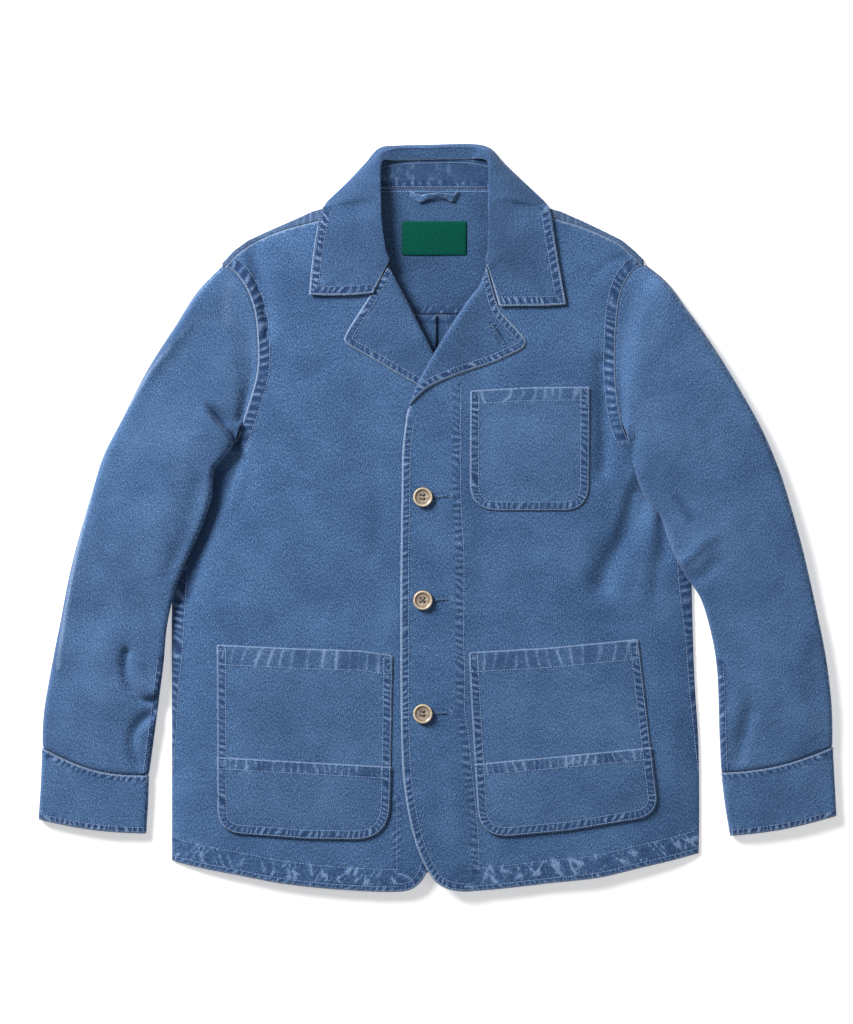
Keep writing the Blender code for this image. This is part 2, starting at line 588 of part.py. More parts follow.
def tube_fractions(width, height):
    """Fractions across a flattened tube, with the share of its half height there."""
    radius = min(height / 2, width / 4)
    ends = radius / width
    turn = [(ends * (1 - math.cos(math.radians(a))), math.sin(math.radians(a))) for a in END_ANGLES]
    flat = [(ends + (1 - 2 * ends) * t, 1.0) for t in ACROSS[1:-1]]
    return turn + flat + [(1 - u, share) for u, share in reversed(turn)]


def seam_ring(line, row=SLEEVE_RIGHT[0]):
    """Points of a seam line at the fractions where a sleeve's first ring meets it."""
    width = math.hypot(row[2] - row[0], row[3] - row[1])
    return [tuple(along(line, u)) for u, _ in tube_fractions(width, row[4])]


def under_seam(side, u):
    """The point of the armhole's lower line: behind the arm to the pit, then the underarm."""
    width = math.hypot(side["sleeve"][0][2] - side["sleeve"][0][0],
                       side["sleeve"][0][3] - side["sleeve"][0][1])
    ends = side["sleeve"][0][4] / 2 / width
    pit = ends + TO_PIT * (1 - 2 * ends)
    if u <= pit:
        return along(side["back_armhole"], u / pit)
    return along(side["underarm"][::-1], (u - pit) / (1 - pit))


def tube_wall(table, index, side, crown, hem_bow, seams, upper):
    """One wall of one section: its outer and inner points, from the outer fold to the inner."""
    ox, oy, ix, iy, height, bow_top, bow_low = table[index]
    outer, inner = np.array((ox, oy), float), np.array((ix, iy), float)
    start, stop = np.array(table[0][0:2], float), np.array(table[0][2:4], float)
    width = float(np.hypot(*(inner - outer)))
    across = (inner - outer) / width
    front = lap if side["inward"] < 0 else drape
    sign = 1 if upper else -1
    points = []
    for u, share in tube_fractions(width, height):
        plan = outer + (inner - outer) * u
        if seams:
            seam = along(side["armhole"], u) if upper else under_seam(side, u)
            plan = plan + (seam - start - (stop - start) * u) * (bow_top if upper else bow_low)
        plan = plan - (0, hem_bow * index / (len(table) - 1) * math.sin(math.pi * u))
        base = rest_height(*plan)
        thick = max(MIN_SLEEVE, height + crown * math.sin(math.pi * u) - SETTLE * base)
        if seams and index == 0:
            thick = front(*plan) + WALL - base if share == 0 or upper else thick
            thick = max(thick, 2 * WALL + GAP)
        middle = base + thick / 2
        reach = sign * thick / 2 * share
        reach_in = sign * max(0.0, thick / 2 * share - WALL)
        pull = across * WALL * (1 - share) * (1 if u < 0.5 else -1)
        points.append(((*plan, middle + reach), (*(plan + pull), middle + reach_in)))
    return points


def make_tube(name, table, side, crown, finish, collection, seams=True, hem_bow=0.0):
    """An open, flattened tube of cloth: outer wall, inner wall and a rim at each end."""
    work = bmesh.new()
    walls = ([], [])
    for index in range(len(table)):
        top = tube_wall(table, index, side, crown, hem_bow, seams, True)
        low = tube_wall(table, index, side, crown, hem_bow, seams, False)
        ring = top + low[::-1][1:-1]
        for wall, choice in zip(walls, (0, 1)):
            wall.append([work.verts.new(Vector(point[choice]) * MM) for point in ring])
    count = len(walls[0][0])
    for k in range(count):
        n = (k + 1) % count
        for wall in walls:
            for one, two in zip(wall, wall[1:]):
                work.faces.new([one[k], one[n], two[n], two[k]])
        for end in (0, -1):
            work.faces.new([walls[0][end][k], walls[0][end][n], walls[1][end][n], walls[1][end][k]])
    return add_object(name, work, finish, collection)


def make_stand(finish, collection):
    """Collar stand: the band that stands round the neck between the seam and the roll."""
    rows = []
    for bx, by, bz, tx, ty, tz in STAND:
        if bz is None:
            bz = (lap if bx > 0 else drape)(bx, by) + WALL + STAND_CLEAR + WALL / 2
        row = []
        for t in ACROSS_STAND:
            row.append((bx + (tx - bx) * t, by + (ty - by) * t, bz + (tz - bz) * t))
        rows.append(row)
    return sheet("collar_stand", rows, finish, collection)


def leaf_row(rx, ry, rz, ex, ey, shift):
    """A line across a leaf, from the roll to its edge, lying down on the lapel's layer.

    shift moves its points towards those of the rows that turn over the shoulder."""
    under = lap if rx > 0 else drape
    row = []
    for on_leaf, at_turn in LEAF_SHARES:
        t = on_leaf + (at_turn - on_leaf) * shift
        x, y = rx + (ex - rx) * t, ry + (ey - ry) * t
        lying = under(x, y) + 2 * LAYER + LEAF_CLEAR + WALL / 2
        start = rz + GAP - lying
        crest = CREST * math.exp(-(t / CREST_AT - 1) ** 2)
        row.append((x, y, lying + max(0.0, start) * (1 - t) ** 2 + crest))
    return row


def wrap_row(rx, ry, rz, tx, ty, radius, ex, ey):
    """A line across the fall where it turns over the shoulder and lies under the yoke."""
    roll, turn = np.array((rx, ry), float), np.array((tx, ty), float)
    out = (turn - roll) / np.hypot(*(turn - roll))
    low = WALL / 2
    lip = turn - out * radius
    top = low + 2 * radius
    row = [(rx, ry, rz + GAP)]
    for t in (0.35, 0.7):
        x, y = roll + (lip - roll) * t
        row.append((x, y, rz + GAP + 0.4 + (top - rz) * t ** 1.5))
    row.append((lip[0], lip[1], top))
    row.append((turn[0], turn[1], low + radius))
    row.append((lip[0], lip[1], low))
    edge = np.array((ex, ey), float)
    for t in (0.5, 1):
        x, y = lip + (edge - lip) * t
        row.append((x, y, low))
    return row


def make_fall(finish, collection):
    """Collar fall: right leaf, over the shoulder and under the yoke, left leaf."""
    shifts = [max(0, k - FIRST_TURNING) / (len(LEAF_RIGHT) - 1 - FIRST_TURNING)
              for k in range(len(LEAF_RIGHT))]
    rows = [leaf_row(*row, shift) for row, shift in zip(LEAF_RIGHT, shifts)]
    rows += [wrap_row(*row) for row in WRAP]
    rows += [leaf_row(*row, shift) for row, shift in zip(LEAF_LEFT, shifts)][::-1]
    return sheet("collar_fall", rows, finish, collection, even=False)


def make_label(finish, collection):
    """Neck label on the inside of the yoke."""
    work = bmesh.new()
    corners = rounded(LABEL)
    low, high = [], []
    for x, y in divide(corners + corners[:1], LABEL_STEP)[:-1]:
        z = neck_lift(x, y) + WALL + LABEL_CLEAR
        low.append(work.verts.new((x * MM, y * MM, z * MM)))
        high.append(work.verts.new((x * MM, y * MM, (z + LABEL_THICK) * MM)))
    for k in range(len(low)):
        n = (k + 1) % len(low)
        work.faces.new([low[k], low[n], high[n], high[k]])
    work.faces.new(high)
    work.faces.new(low[::-1])
    bmesh.ops.triangulate(work, faces=[f for f in work.faces if len(f.verts) > 4])
    return add_object("neck_label", work, finish, collection)


def make_loop(finish, collection):
    """Hanger loop: a twisted strip, caught at both ends under the stand's seam."""
    rows = []
    for k, (x, y, z) in enumerate(LOOP):
        tilt = math.radians(LOOP_TILT + LOOP_TWIST * math.sin(math.pi * k / (len(LOOP) - 1)))
        side = Vector((0, math.cos(tilt), math.sin(tilt) / 2)) * LOOP_HALF
        rows.append([Vector((x, y, z)) - side * s for s in (-1, 0, 1)])
    return sheet("hanger_loop", rows, finish, collection, wall=LOOP_THICK)


def circle(x, y, radius, count):
    """Points round a centre."""
    turns = [2 * math.pi * k / count for k in range(count)]
    return [(x + radius * math.cos(turn), y + radius * math.sin(turn)) for turn in turns]


def fill(work, rings, z):
    """A flat face at a height, from the first ring inwards to the others.

    Returns the new points of each ring."""
    flat, edges = [], []
    for ring in rings:
        first = len(flat)
        flat += ring
        edges += [(first + k, first + (k + 1) % len(ring)) for k in range(len(ring))]
    verts = [work.verts.new((x * MM, y * MM, z * MM)) for x, y in flat]
    _, _, faces, origin, _, _ = delaunay_2d_cdt([Vector(p) for p in flat], edges, [], 0, 1e-4)
    for face in faces:
        corners = [origin[k][0] for k in face]
        x = sum(flat[k][0] for k in corners) / 3
        y = sum(flat[k][1] for k in corners) / 3
        if inside(rings[0], x, y) and not any(inside(ring, x, y) for ring in rings[1:]):
            work.faces.new([verts[k] for k in corners])
    starts = np.cumsum([0] + [len(ring) for ring in rings])
    return [verts[a:b] for a, b in zip(starts, starts[1:])]


def bridge(work, one, two):
    """Faces between two rings of as many points."""
    for k in range(len(one)):
        n = (k + 1) % len(one)
        work.faces.new([one[k], one[n], two[n], two[k]])


def make_button(name, y, finish, collection):
    """A four-hole button on its thread shank, which passes through the buttonhole."""
    base = drape(BUTTON_X, y) + WALL + GAP
    seat = lap(BUTTON_X, y) + WALL + SHANK_CLEAR
    holes = []
    for k in range(4):
        angle = math.radians(45 + 90 * k)
        holes.append(circle(BUTTON_X + HOLE_CIRCLE * math.cos(angle),
                            y + HOLE_CIRCLE * math.sin(angle), HOLE_RADIUS, HOLE_SIDES))
    shank = circle(BUTTON_X, y, SHANK_RADIUS, HOLE_SIDES)
    work = bmesh.new()
    rims = [circle(BUTTON_X, y, radius, BUTTON_STEPS) for radius, _ in BUTTON_PROFILE]
    below = fill(work, [rims[0]] + holes + [shank], seat)
    above = fill(work, [rims[-1]] + holes, seat + BUTTON_PROFILE[-1][1])
    turned = [below[0]]
    for ring, (_, rise) in zip(rims[1:-1], BUTTON_PROFILE[1:-1]):
        turned.append([work.verts.new((px * MM, py * MM, (seat + rise) * MM)) for px, py in ring])
    turned.append(above[0])
    for one, two in zip(turned, turned[1:]):
        bridge(work, one, two)
    for low, high in zip(below[1:5], above[1:]):
        bridge(work, low, high)
    foot = fill(work, [shank], base)
    bridge(work, below[5], foot[0])
    return add_object(name, work, finish, collection)


def buttonhole(x, y):
    """Outline of a buttonhole: an eye round the shank and a slit away from the edge."""
    mouth = math.asin(SLIT_HALF / EYE_RADIUS)
    out = []
    for k in range(9):
        angle = mouth + 2 * (math.pi - mouth) * k / 8
        out.append((x + EYE_RADIUS * math.cos(angle), y + EYE_RADIUS * math.sin(angle)))
    out += [(x + SLIT_LENGTH, y - SLIT_HALF), (x + SLIT_LENGTH, y + SLIT_HALF)]
    return out


def slit_outline(start, end):
    """A straight cut as a thin outline."""
    start, end = Vector(start), Vector(end)
    cut = (end - start).normalized()
    side = Vector((-cut.y, cut.x)) * SLIT_HALF
    return [tuple(point) for point in (start + side, start - side, end - side, end + side)]


def below(outline, top):
    """The part of a closed outline that lies under a line, as a closed outline."""
    ring = divide(outline + outline[:1], EDGE_STEP)[:-1]
    height = [y - read(top, x, 0) for x, y in ring]
    out = []
    for k, (x, y) in enumerate(ring):
        n = (k + 1) % len(ring)
        if height[k] < 0:
            out.append((x, y))
        if (height[k] < 0) != (height[n] < 0):
            t = height[k] / (height[k] - height[n])
            out.append((x + (ring[n][0] - x) * t, y + (ring[n][1] - y) * t))
    return out


def front_outlines():
    """The outlines of both fronts and of all that lies on them."""
    fronts = []
    for side in SIDES:
        inward = side["inward"]
        shoulder = [(x, read(side["seam"], x, 0) - GAP / 2) for x in YOKE_STATIONS
                    if NECK_CORNER < -x * inward < abs(side["seam"][0][0]) - 1]
        shoulder.sort(key=lambda p: -abs(p[0]))
        armhole = [(x + inward * SEAM_INSET, y) for x, y in seam_ring(side["armhole"])]
        fronts.append(shoulder + list(side["neck"]) + list(side["roll"][1:])
                      + list(side["edge"][1:]) + list(side["hem"][1:]) + list(side["side"][::-1][1:])
                      + list(side["underarm"][::-1][1:-1]) + armhole[::-1][:-1])
    lapel_right = list(LAPEL_RIGHT) + list(ROLL_RIGHT[-3:0:-1])
    lapel_left = list(LAPEL_LEFT) + list(ROLL_LEFT[1:-2])
    pocket_right = rounded(POCKET_RIGHT)
    pocket_left = rounded(POCKET_LEFT)
    return {
        "front_right": fronts[0], "front_left": fronts[1],
        "lapel_right": lapel_right, "lapel_left": lapel_left,
        "pocket_right": pocket_right, "pocket_left": pocket_left,
        "pocket_chest": rounded(POCKET_CHEST),
        "pocket_right_overlay": below(pocket_right, OVERLAY_TOP_RIGHT),
        "pocket_left_overlay": below(pocket_left, OVERLAY_TOP_LEFT),
    }


def edge_points(side, insets):
    """Points just inside a closed edge, where the cloth turns up from it."""
    out = []
    for inset in insets:
        for x, y in divide(side, EDGE_STEP):
            out.append((x + math.copysign(inset, -x), y))
    return out


def make_fronts(cloth, collection):
    """Both fronts with their lapels and pockets, each layer from the panel's own points."""
    outlines = front_outlines()
    holes = [buttonhole(BUTTON_X, y) for y in BUTTON_Y]
    lapel_hole = [slit_outline(*LAPEL_SLIT)]
    right_names = ("front_right", "lapel_right", "pocket_right", "pocket_right_overlay")
    left_names = ("front_left", "lapel_left", "pocket_left", "pocket_left_overlay", "pocket_chest")
    layers = {"front": 0, "lapel": 1, "pocket": 1, "overlay": 2}
    for names, under, cuts, side in ((right_names, drape, [], SIDE_RIGHT),
                                     (left_names, lap, holes + lapel_hole, SIDE_LEFT)):
        chosen = {name: outlines[name] for name in names}
        chosen["panel"] = outlines[names[0]]
        net = panel_net(chosen, cuts, edge_points(side, EDGE_INSETS))
        for name in names:
            kind = "overlay" if name.endswith("overlay") else name.split("_")[0]
            lift = layers[kind] * LAYER
            piece_holes = holes if name == "front_left" else lapel_hole if name == "lapel_left" else []
            slab(name, net, outlines[name], piece_holes,
                 lambda x, y, lift=lift, under=under: under(x, y) + lift, cloth[kind], collection)


def build():
    """Make the whole jacket in a fresh scene."""
    for old in list(bpy.data.objects):
        bpy.data.objects.remove(old)
    jacket = bpy.data.collections.new("shirt_jacket")
    bpy.context.scene.collection.children.link(jacket)

    cloth = {
        "front": material("washed_cotton_front", 0.072, 0.150, 0.310, 0.85),
        "back": material("washed_cotton_back", 0.066, 0.140, 0.290, 0.85),
        "sleeve": material("washed_cotton_sleeve", 0.070, 0.146, 0.300, 0.85),
        "lapel": material("washed_cotton_lapel", 0.080, 0.165, 0.330, 0.85),
        "pocket": material("washed_cotton_pocket", 0.076, 0.158, 0.320, 0.85),
        "overlay": material("washed_cotton_overlay", 0.070, 0.150, 0.305, 0.85),
        "collar": material("washed_cotton_collar", 0.078, 0.160, 0.325, 0.85),
    }
    green = material("label_satin", 0.004, 0.100, 0.050, 0.6)
    horn = material("horn", 0.430, 0.320, 0.210, 0.35)

    make_back(cloth["back"], jacket)
    make_yoke(cloth["back"], jacket)
    make_fronts(cloth, jacket)
    for side in SIDES:
        make_tube(f"sleeve_{side['name']}", side["sleeve"], side, SLEEVE_CROWN, cloth["sleeve"], jacket)
        make_tube(f"cuff_{side['name']}", side["cuff"], side, CUFF_CROWN, cloth["collar"], jacket,
                  seams=False, hem_bow=CUFF_HEM_BOW)
    make_stand(cloth["collar"], jacket)
    make_fall(cloth["collar"], jacket)
    make_label(green, jacket)
    make_loop(cloth["collar"], jacket)
    for number, y in enumerate(BUTTON_Y, 1):
        make_button(f"button_{number}", y, horn, jacket)


build()
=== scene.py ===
# Shirt jacket of washed cotton canvas, buttoned and laid flat on its back.
# Lengths are in millimetres on the garment and become metres where a mesh is made.
# +X is the viewer's right, +Y runs from hem to collar; "right" and "left" are the wearer's.
import math

import bpy
import numpy as np
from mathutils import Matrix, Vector
from mathutils.geometry import delaunay_2d_cdt


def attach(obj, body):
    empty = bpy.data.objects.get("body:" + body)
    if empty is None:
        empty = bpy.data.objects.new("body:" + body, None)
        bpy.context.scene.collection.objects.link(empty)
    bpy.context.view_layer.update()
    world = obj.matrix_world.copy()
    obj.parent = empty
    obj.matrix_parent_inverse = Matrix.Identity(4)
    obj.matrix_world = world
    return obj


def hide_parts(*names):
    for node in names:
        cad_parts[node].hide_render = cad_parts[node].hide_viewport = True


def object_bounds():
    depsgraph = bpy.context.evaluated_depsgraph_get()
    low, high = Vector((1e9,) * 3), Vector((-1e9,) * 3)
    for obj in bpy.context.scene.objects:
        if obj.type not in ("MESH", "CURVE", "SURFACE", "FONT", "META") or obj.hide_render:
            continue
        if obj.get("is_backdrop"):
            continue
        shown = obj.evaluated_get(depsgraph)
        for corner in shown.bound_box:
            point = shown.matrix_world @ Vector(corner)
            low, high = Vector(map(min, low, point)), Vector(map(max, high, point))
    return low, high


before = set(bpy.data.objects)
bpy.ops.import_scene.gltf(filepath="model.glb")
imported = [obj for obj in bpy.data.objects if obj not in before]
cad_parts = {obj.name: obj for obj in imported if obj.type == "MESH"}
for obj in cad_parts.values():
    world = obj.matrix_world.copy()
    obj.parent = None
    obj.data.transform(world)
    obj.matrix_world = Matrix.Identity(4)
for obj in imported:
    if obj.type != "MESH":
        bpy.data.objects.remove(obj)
cadBox = [[float(v) for v in corner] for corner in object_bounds()]
mm = 0.001

# how the photograph is framed: millimetres a pixel, the pixel over the model's origin, and in
# metres how far up the camera is and how high the jacket's upper cloth lies, where that scale holds
photo = {"mmPerPixel": 1.06, "originX": 437.5, "originY": 518.0, "width": 853, "height": 1024,
         "distance": 3.0, "clothHeight": 0.008, "sensor": 36.0}

# thickness of the cloth, the space between layers, how the fronts lift off the back and over
# each other, and how strong their creases and their broad and small unevenness are
drapeSizes = {"wall": 1.2, "layer": 1.5, "rise": 8.5, "reach": 35.0, "neckLift": 1.6,
              "lapLift": 3.6, "lapStart": 14.0, "lapEnd": 52.0, "creases": 1.3, "broad": 1.1,
              "small": 0.45}
wall, layer = drapeSizes["wall"], drapeSizes["layer"]

# the lines of the pattern, in rows of x, y
right = {
    "inward": 1, "name": "right",
    "fold": [(-229, 270), (-216, 284), (-201, 295), (-178, 305.5), (-154, 316), (-133, 325.5),
             (-120, 329), (-105, 333), (-90, 337)],
    "seam": [(-226, 266), (-213, 280), (-199, 290.5), (-176, 301.5), (-160, 307), (-124, 316),
             (-97, 322)],
    "armhole": [(-226, 266), (-217, 262), (-209, 253), (-202, 242), (-194, 219), (-191, 192),
                (-191, 157), (-199, 125), (-208, 98), (-214, 83)],
    "underarm": [(-214, 83), (-245, 76), (-276, 68)],
    "backArmhole": [(-228, 268), (-213, 240), (-207, 205), (-209, 170), (-221, 132), (-244, 98),
                    (-276, 68)],
    "side": [(-276, 68), (-280, 0), (-282, -90), (-282, -230), (-282, -364)],
    "hem": [(-42, -396), (-61, -396), (-114, -393), (-167, -387), (-209, -379), (-252, -371),
            (-282, -364)],
    "neck": [(-97, 320.4), (-82, 300), (-66, 280), (-52, 269)],
    "roll": [(-52, 269), (-42, 250), (-29, 225), (-17, 201), (-4, 175), (4, 152), (9, 114)],
    "edge": [(9, 114), (9, -87), (8, -225), (6, -278), (2, -325), (-4, -354), (-10, -372),
             (-17, -385), (-27, -393), (-42, -396)],
}
left = {
    "inward": -1, "name": "left",
    "fold": [(222, 271), (209, 284), (196, 295), (175, 305.5), (153, 316), (131, 325.5),
             (118, 329), (103, 333), (88, 337)],
    "seam": [(219, 267), (206, 280), (194, 290.5), (172, 301.5), (148, 311), (119, 319), (95, 324)],
    "armhole": [(219, 267), (211, 265), (204, 257), (198, 247), (193, 230), (190, 203), (189, 157),
                (192, 121), (198, 94), (204, 83)],
    "underarm": [(204, 83), (235, 76), (267, 67)],
    "backArmhole": [(221, 269), (209, 240), (203, 205), (204, 170), (214, 132), (236, 98),
                    (267, 67)],
    "side": [(267, 67), (269, -10), (270, -72), (273, -171), (277, -235), (278, -300),
             (277.5, -356)],
    "hem": [(34, -395.5), (66, -393), (119, -387), (172, -381), (215, -371), (246, -364),
            (277.5, -356)],
    "neck": [(95, 322), (80, 303), (65, 284), (52, 269)],
    "roll": [(52, 269), (45, 248), (30, 228), (13, 202), (-3, 176), (-16, 153), (-25, 134),
             (-31, 116), (-34, 99)],
    "edge": [(-34, 99), (-37, 72), (-38, 19), (-39, -45), (-39, -193), (-38, -246), (-36, -278),
             (-31, -312), (-25, -338), (-18, -358), (-10, -374), (-2, -385), (9, -392), (22, -395),
             (34, -395.5)],
}
backHem = [(-281, -362), (-209, -376), (-114, -388), (-50, -384), (-20, -376), (20, -376),
           (50, -382), (119, -382), (215, -368), (276.5, -354)]


# small helpers
def ease(t):
    t = np.clip(t, 0.0, 1.0)
    return t * t * (3.0 - 2.0 * t)


def one(value):
    return float(np.ravel(value)[0])


def readLine(table, value, axis=0):
    # a line's other coordinate where it passes a value
    rows = sorted((row[axis], row[1 - axis]) for row in table)
    return np.interp(value, [row[0] for row in rows], [row[1] for row in rows])


def hermite(u, p, q, slopeP, slopeQ, h=1.0):
    return ((2 * u**3 - 3 * u**2 + 1) * p + (u**3 - 2 * u**2 + u) * h * slopeP
            + (3 * u**2 - 2 * u**3) * q + (u**3 - u**2) * h * slopeQ)


def lengthAlong(points):
    return np.concatenate(([0.0], np.cumsum(np.linalg.norm(np.diff(points, axis=0), axis=1))))


def closeUp(ring):
    return np.concatenate([ring, ring[:1]])


def flow(points, step=2.5):
    # a smooth line through the points, cut into even lengths
    p = np.array(points, float)
    if len(p) == 2:
        return evenly(p, step)
    t = np.concatenate(([0.0], np.cumsum(np.sqrt(np.hypot(*np.diff(p, axis=0)[:, :2].T) + 1e-9))))
    slope = np.gradient(p, t, axis=0)
    for end, beside in ((0, 1), (-1, -2)):
        slope[end] = 2 * (p[end] - p[beside]) / (t[end] - t[beside]) - slope[beside]
    fine = []
    for k, h in enumerate(np.diff(t)):
        fine += [hermite(u, p[k], p[k + 1], slope[k], slope[k + 1], h)
                 for u in np.linspace(0, 1, 16, endpoint=False)]
    return evenly(fine + [p[-1]], step)


def evenly(p, step):
    p = np.asarray(p, float)
    run = lengthAlong(p)
    at = np.linspace(0, run[-1], max(1, int(round(run[-1] / step))) + 1)
    return np.stack([np.interp(at, run, p[:, k]) for k in range(p.shape[1])], axis=1)


def joined(*parts):
    # one closed outline from lines that meet end to end
    return np.concatenate([np.asarray(part, float)[:-1] for part in parts])


def rounded(corners, step=2.5):
    # a closed outline from rows of x, y and corner radius
    line = []
    for k, (x, y, radius) in enumerate(corners):
        corner = np.array((x, y), float)
        if radius <= 0:
            line.append(corner)
            continue
        legs = [np.array(corners[n % len(corners)][:2], float) - corner for n in (k - 1, k + 1)]
        start, end = (corner + leg / np.linalg.norm(leg) * radius for leg in legs)
        for t in np.linspace(0, 1, 12 if radius > 10 else 4):
            line.append(start * (1 - t)**2 + corner * 2 * t * (1 - t) + end * t**2)
    return evenly(line + line[:1], step)[:-1]


def nearLine(x, y, path):
    # signed distance to a line, positive on its left, and how far along it the nearest point is
    path = np.asarray(path, float)[:, :2]
    a, d = path[:-1], np.diff(path, axis=0)
    length = np.maximum(np.hypot(*d.T), 1e-9)
    start = np.concatenate(([0.0], np.cumsum(length)[:-1]))
    away, run = np.empty(len(x)), np.empty(len(x))
    for k in range(0, len(x), 4000):
        px, py = x[k:k + 4000, None] - a[:, 0], y[k:k + 4000, None] - a[:, 1]
        t = np.clip((px * d[:, 0] + py * d[:, 1]) / length**2, 0, 1)
        dist = np.hypot(px - t * d[:, 0], py - t * d[:, 1])
        i = np.argmin(dist, axis=1)
        row = np.arange(len(i))
        turn = np.sign(d[i, 0] * py[row, i] - d[i, 1] * px[row, i])
        away[k:k + 4000] = dist[row, i] * np.where(turn == 0, 1, turn)
        run[k:k + 4000] = start[i] + t[row, i] * length[i]
    return away, run


def within(outline, x, y):
    hit = np.zeros(len(x), bool)
    nxt = np.roll(outline, -1, axis=0)
    for (x0, y0), (x1, y1) in zip(outline, nxt):
        if y0 != y1:
            crosses = (y0 > y) != (y1 > y)
            hit ^= crosses & (x < x0 + (x1 - x0) * (y - y0) / (y1 - y0))
    return hit


lattice = np.random.default_rng(11).random((256, 256))


def softNoise(u, v, shift=0):
    # smooth random values between 0 and 1, one cycle a unit
    u, v = np.asarray(u, float) + shift * 7.31, np.asarray(v, float) + shift * 3.77
    i, j = np.floor(u).astype(int), np.floor(v).astype(int)
    fu, fv = ease(u - i), ease(v - j)
    a, b = lattice[i % 256, j % 256], lattice[(i + 1) % 256, j % 256]
    c, d = lattice[i % 256, (j + 1) % 256], lattice[(i + 1) % 256, (j + 1) % 256]
    return (a * (1 - fu) + b * fu) * (1 - fv) + (c * (1 - fu) + d * fu) * fv


# how the cloth lies
# the main creases of the fronts: half width, height (a trough where negative) and points, then
# where they aren't even the shares of its length over which a fold runs out at its start and end,
# and how much narrower it is on the left of its line, as seen along it
frontFolds = [
    (9, -1.6, [(-196, 292), (-188, 250), (-177, 205)]),
    (13, -5.2, [(214, 30), (204, -8), (184, -44), (172, -76)]),
    (9, -4.0, [(174, 168), (177, 110), (176, 48)]),
    (7, -4.0, [(239, 2), (244, -45)]),
    (26, 1.2, [(-150, 140), (-80, -40)]),
    (20, -1.3, [(-225, -60), (-120, -105)]),
    (22, 1.1, [(60, -15), (140, -80)]),
    (15, 1.0, [(170, 245), (110, 190)]),
    # finer ones, which only the cloth has
    (4.5, -3.0, [(-198, 286), (-192, 256), (-183, 224), (-179, 190)]),
    (12, -7.5, [(-212, 80), (-228, 44), (-244, 4), (-258, -34), (-272, -84)]),
    (4, -0.8, [(162, 252), (183, 271), (204, 279)]),
    (9, 0.7, [(-186, 120), (-150, 60), (-128, 10)]),
    (7, -0.8, [(-232, -20), (-205, 20), (-196, 60)]),
    (8, 0.6, [(-240, -100), (-215, -92), (-180, -105)]),
    (8, -0.5, [(-70, 60), (-62, 10), (-66, -40)]),
    (6, 0.8, [(214, 60), (196, 20), (184, -30)]),
    (7, 0.9, [(236, 20), (222, -30), (214, -90)]),
    (6, -1.7, [(238, -16), (233, -60), (231, -112)], (0.2, 0.5)),
    (10, -0.5, [(20, 10), (60, -20), (120, -30)]),
    (12, 0.5, [(30, -90), (90, -100), (170, -90)]),
    (8, -0.6, [(180, -100), (205, -110), (240, -100)]),
    (12, -0.6, [(-140, 250), (-120, 200), (-128, 150)]),
    (10, -0.6, [(120, 230), (150, 190), (160, 160)]),
    (6, 0.5, [(-250, -250), (-256, -300), (-250, -345)]),
    (6, 0.5, [(255, -200), (250, -260), (256, -320)]),
]
# x, y, radius and depth of the places that the sleeves press flat
pressed = [(-238, 30, 62, 4.2), (238, 28, 58, 4.2)]


def foldField(folds, x, y, fade=0.6):
    total = np.zeros(len(x))
    for half, height, points, *more in folds:
        (start, stop), steep = more[0] if more else (0, 0), more[1] if len(more) > 1 else 1.0
        path = flow(points, 8)
        away, run = nearLine(x, y, path)
        length = np.linalg.norm(np.diff(path, axis=0), axis=1).sum()
        past = np.where((run <= 0.01) | (run >= length - 0.01), fade, 1.0)
        past = past * ease(run / length / start) if start else past
        past = past * ease((1 - run / length) / stop) if stop else past
        width = half * np.where(away > 0, steep, 1.0)
        total += height * past * np.exp(-(away / width)**2)
    return total


def neckLift(x, y):
    return drapeSizes["neckLift"] * ease((y - 262.0) / 46.0) * ease((150.0 - np.abs(x)) / 30.0)


def topEdge(x):
    line = np.where(x < 0, readLine(right["fold"], x), readLine(left["fold"], x))
    return line + np.maximum(0.0, 90.0 - np.abs(x)) * 0.1


def drape(x, y):
    # height of the right front's underside, which the other layers follow
    x, y = np.atleast_1d(np.asarray(x, float)), np.atleast_1d(np.asarray(y, float))
    side = np.minimum(x - readLine(right["side"], y, 1), readLine(left["side"], y, 1) - x)
    side = np.maximum(side, 0.0)
    top = np.maximum(topEdge(x) - y, 0.0)
    reach = drapeSizes["reach"]
    rise = drapeSizes["rise"] * (1 - np.exp(-side / reach)) * (1 - np.exp(-top / reach))
    rise += drapeSizes["creases"] * foldField(frontFolds, x, y) * side / (side + 12)
    for px, py, radius, depth in pressed:
        rise -= depth * np.exp(-(np.hypot(x - px, y - py) / radius)**2) * side / (side + 25)
    # shallow unevenness of cloth that has been washed and laid down by hand
    calm = (side / (side + 20)) * (top / (top + 20))
    rise += (softNoise(x / 46, y / 60, 2) - 0.5) * drapeSizes["broad"] * calm
    rise += (softNoise(x / 19 + y / 80, y / 25, 5) - 0.5) * drapeSizes["small"] * calm
    return neckLift(x, y) + layer + np.maximum(rise, 0.0)


def lap(x, y):
    # the left front's underside, which lies over the right one
    x = np.atleast_1d(np.asarray(x, float))
    start, end = drapeSizes["lapStart"], drapeSizes["lapEnd"]
    return drape(x, y) + drapeSizes["lapLift"] * (1.0 - ease((x - start) / (end - start)))


# seams: a band of doubled cloth beside a line, puckered between its rows of stitches
# kind "rope" puckers evenly across a narrow band, "hem" crosses over itself in a wide one, and
# "mouth" is the turned top of a pocket with long uneven strokes
puckerSkew = 0.25
# how much shade is painted into the stitches' grooves and over the whole band on the pieces made of
# rows
grooveDark, bandDark = 0.6, 0.35


def band(path, start=0.0, end=9.0, rows=(1.7, 8.4), kind="rope", period=6.6, **more):
    # shade: how much shade is painted over the band
    usual = {"signed": 0, "lift": 0.28, "depth": 0.3, "seed": 1, "shade": 0.18, "strength": 1.0}
    return {"path": np.asarray(path, float), "start": start, "end": end, "rows": rows, "kind": kind,
            "period": period, **usual, **more}


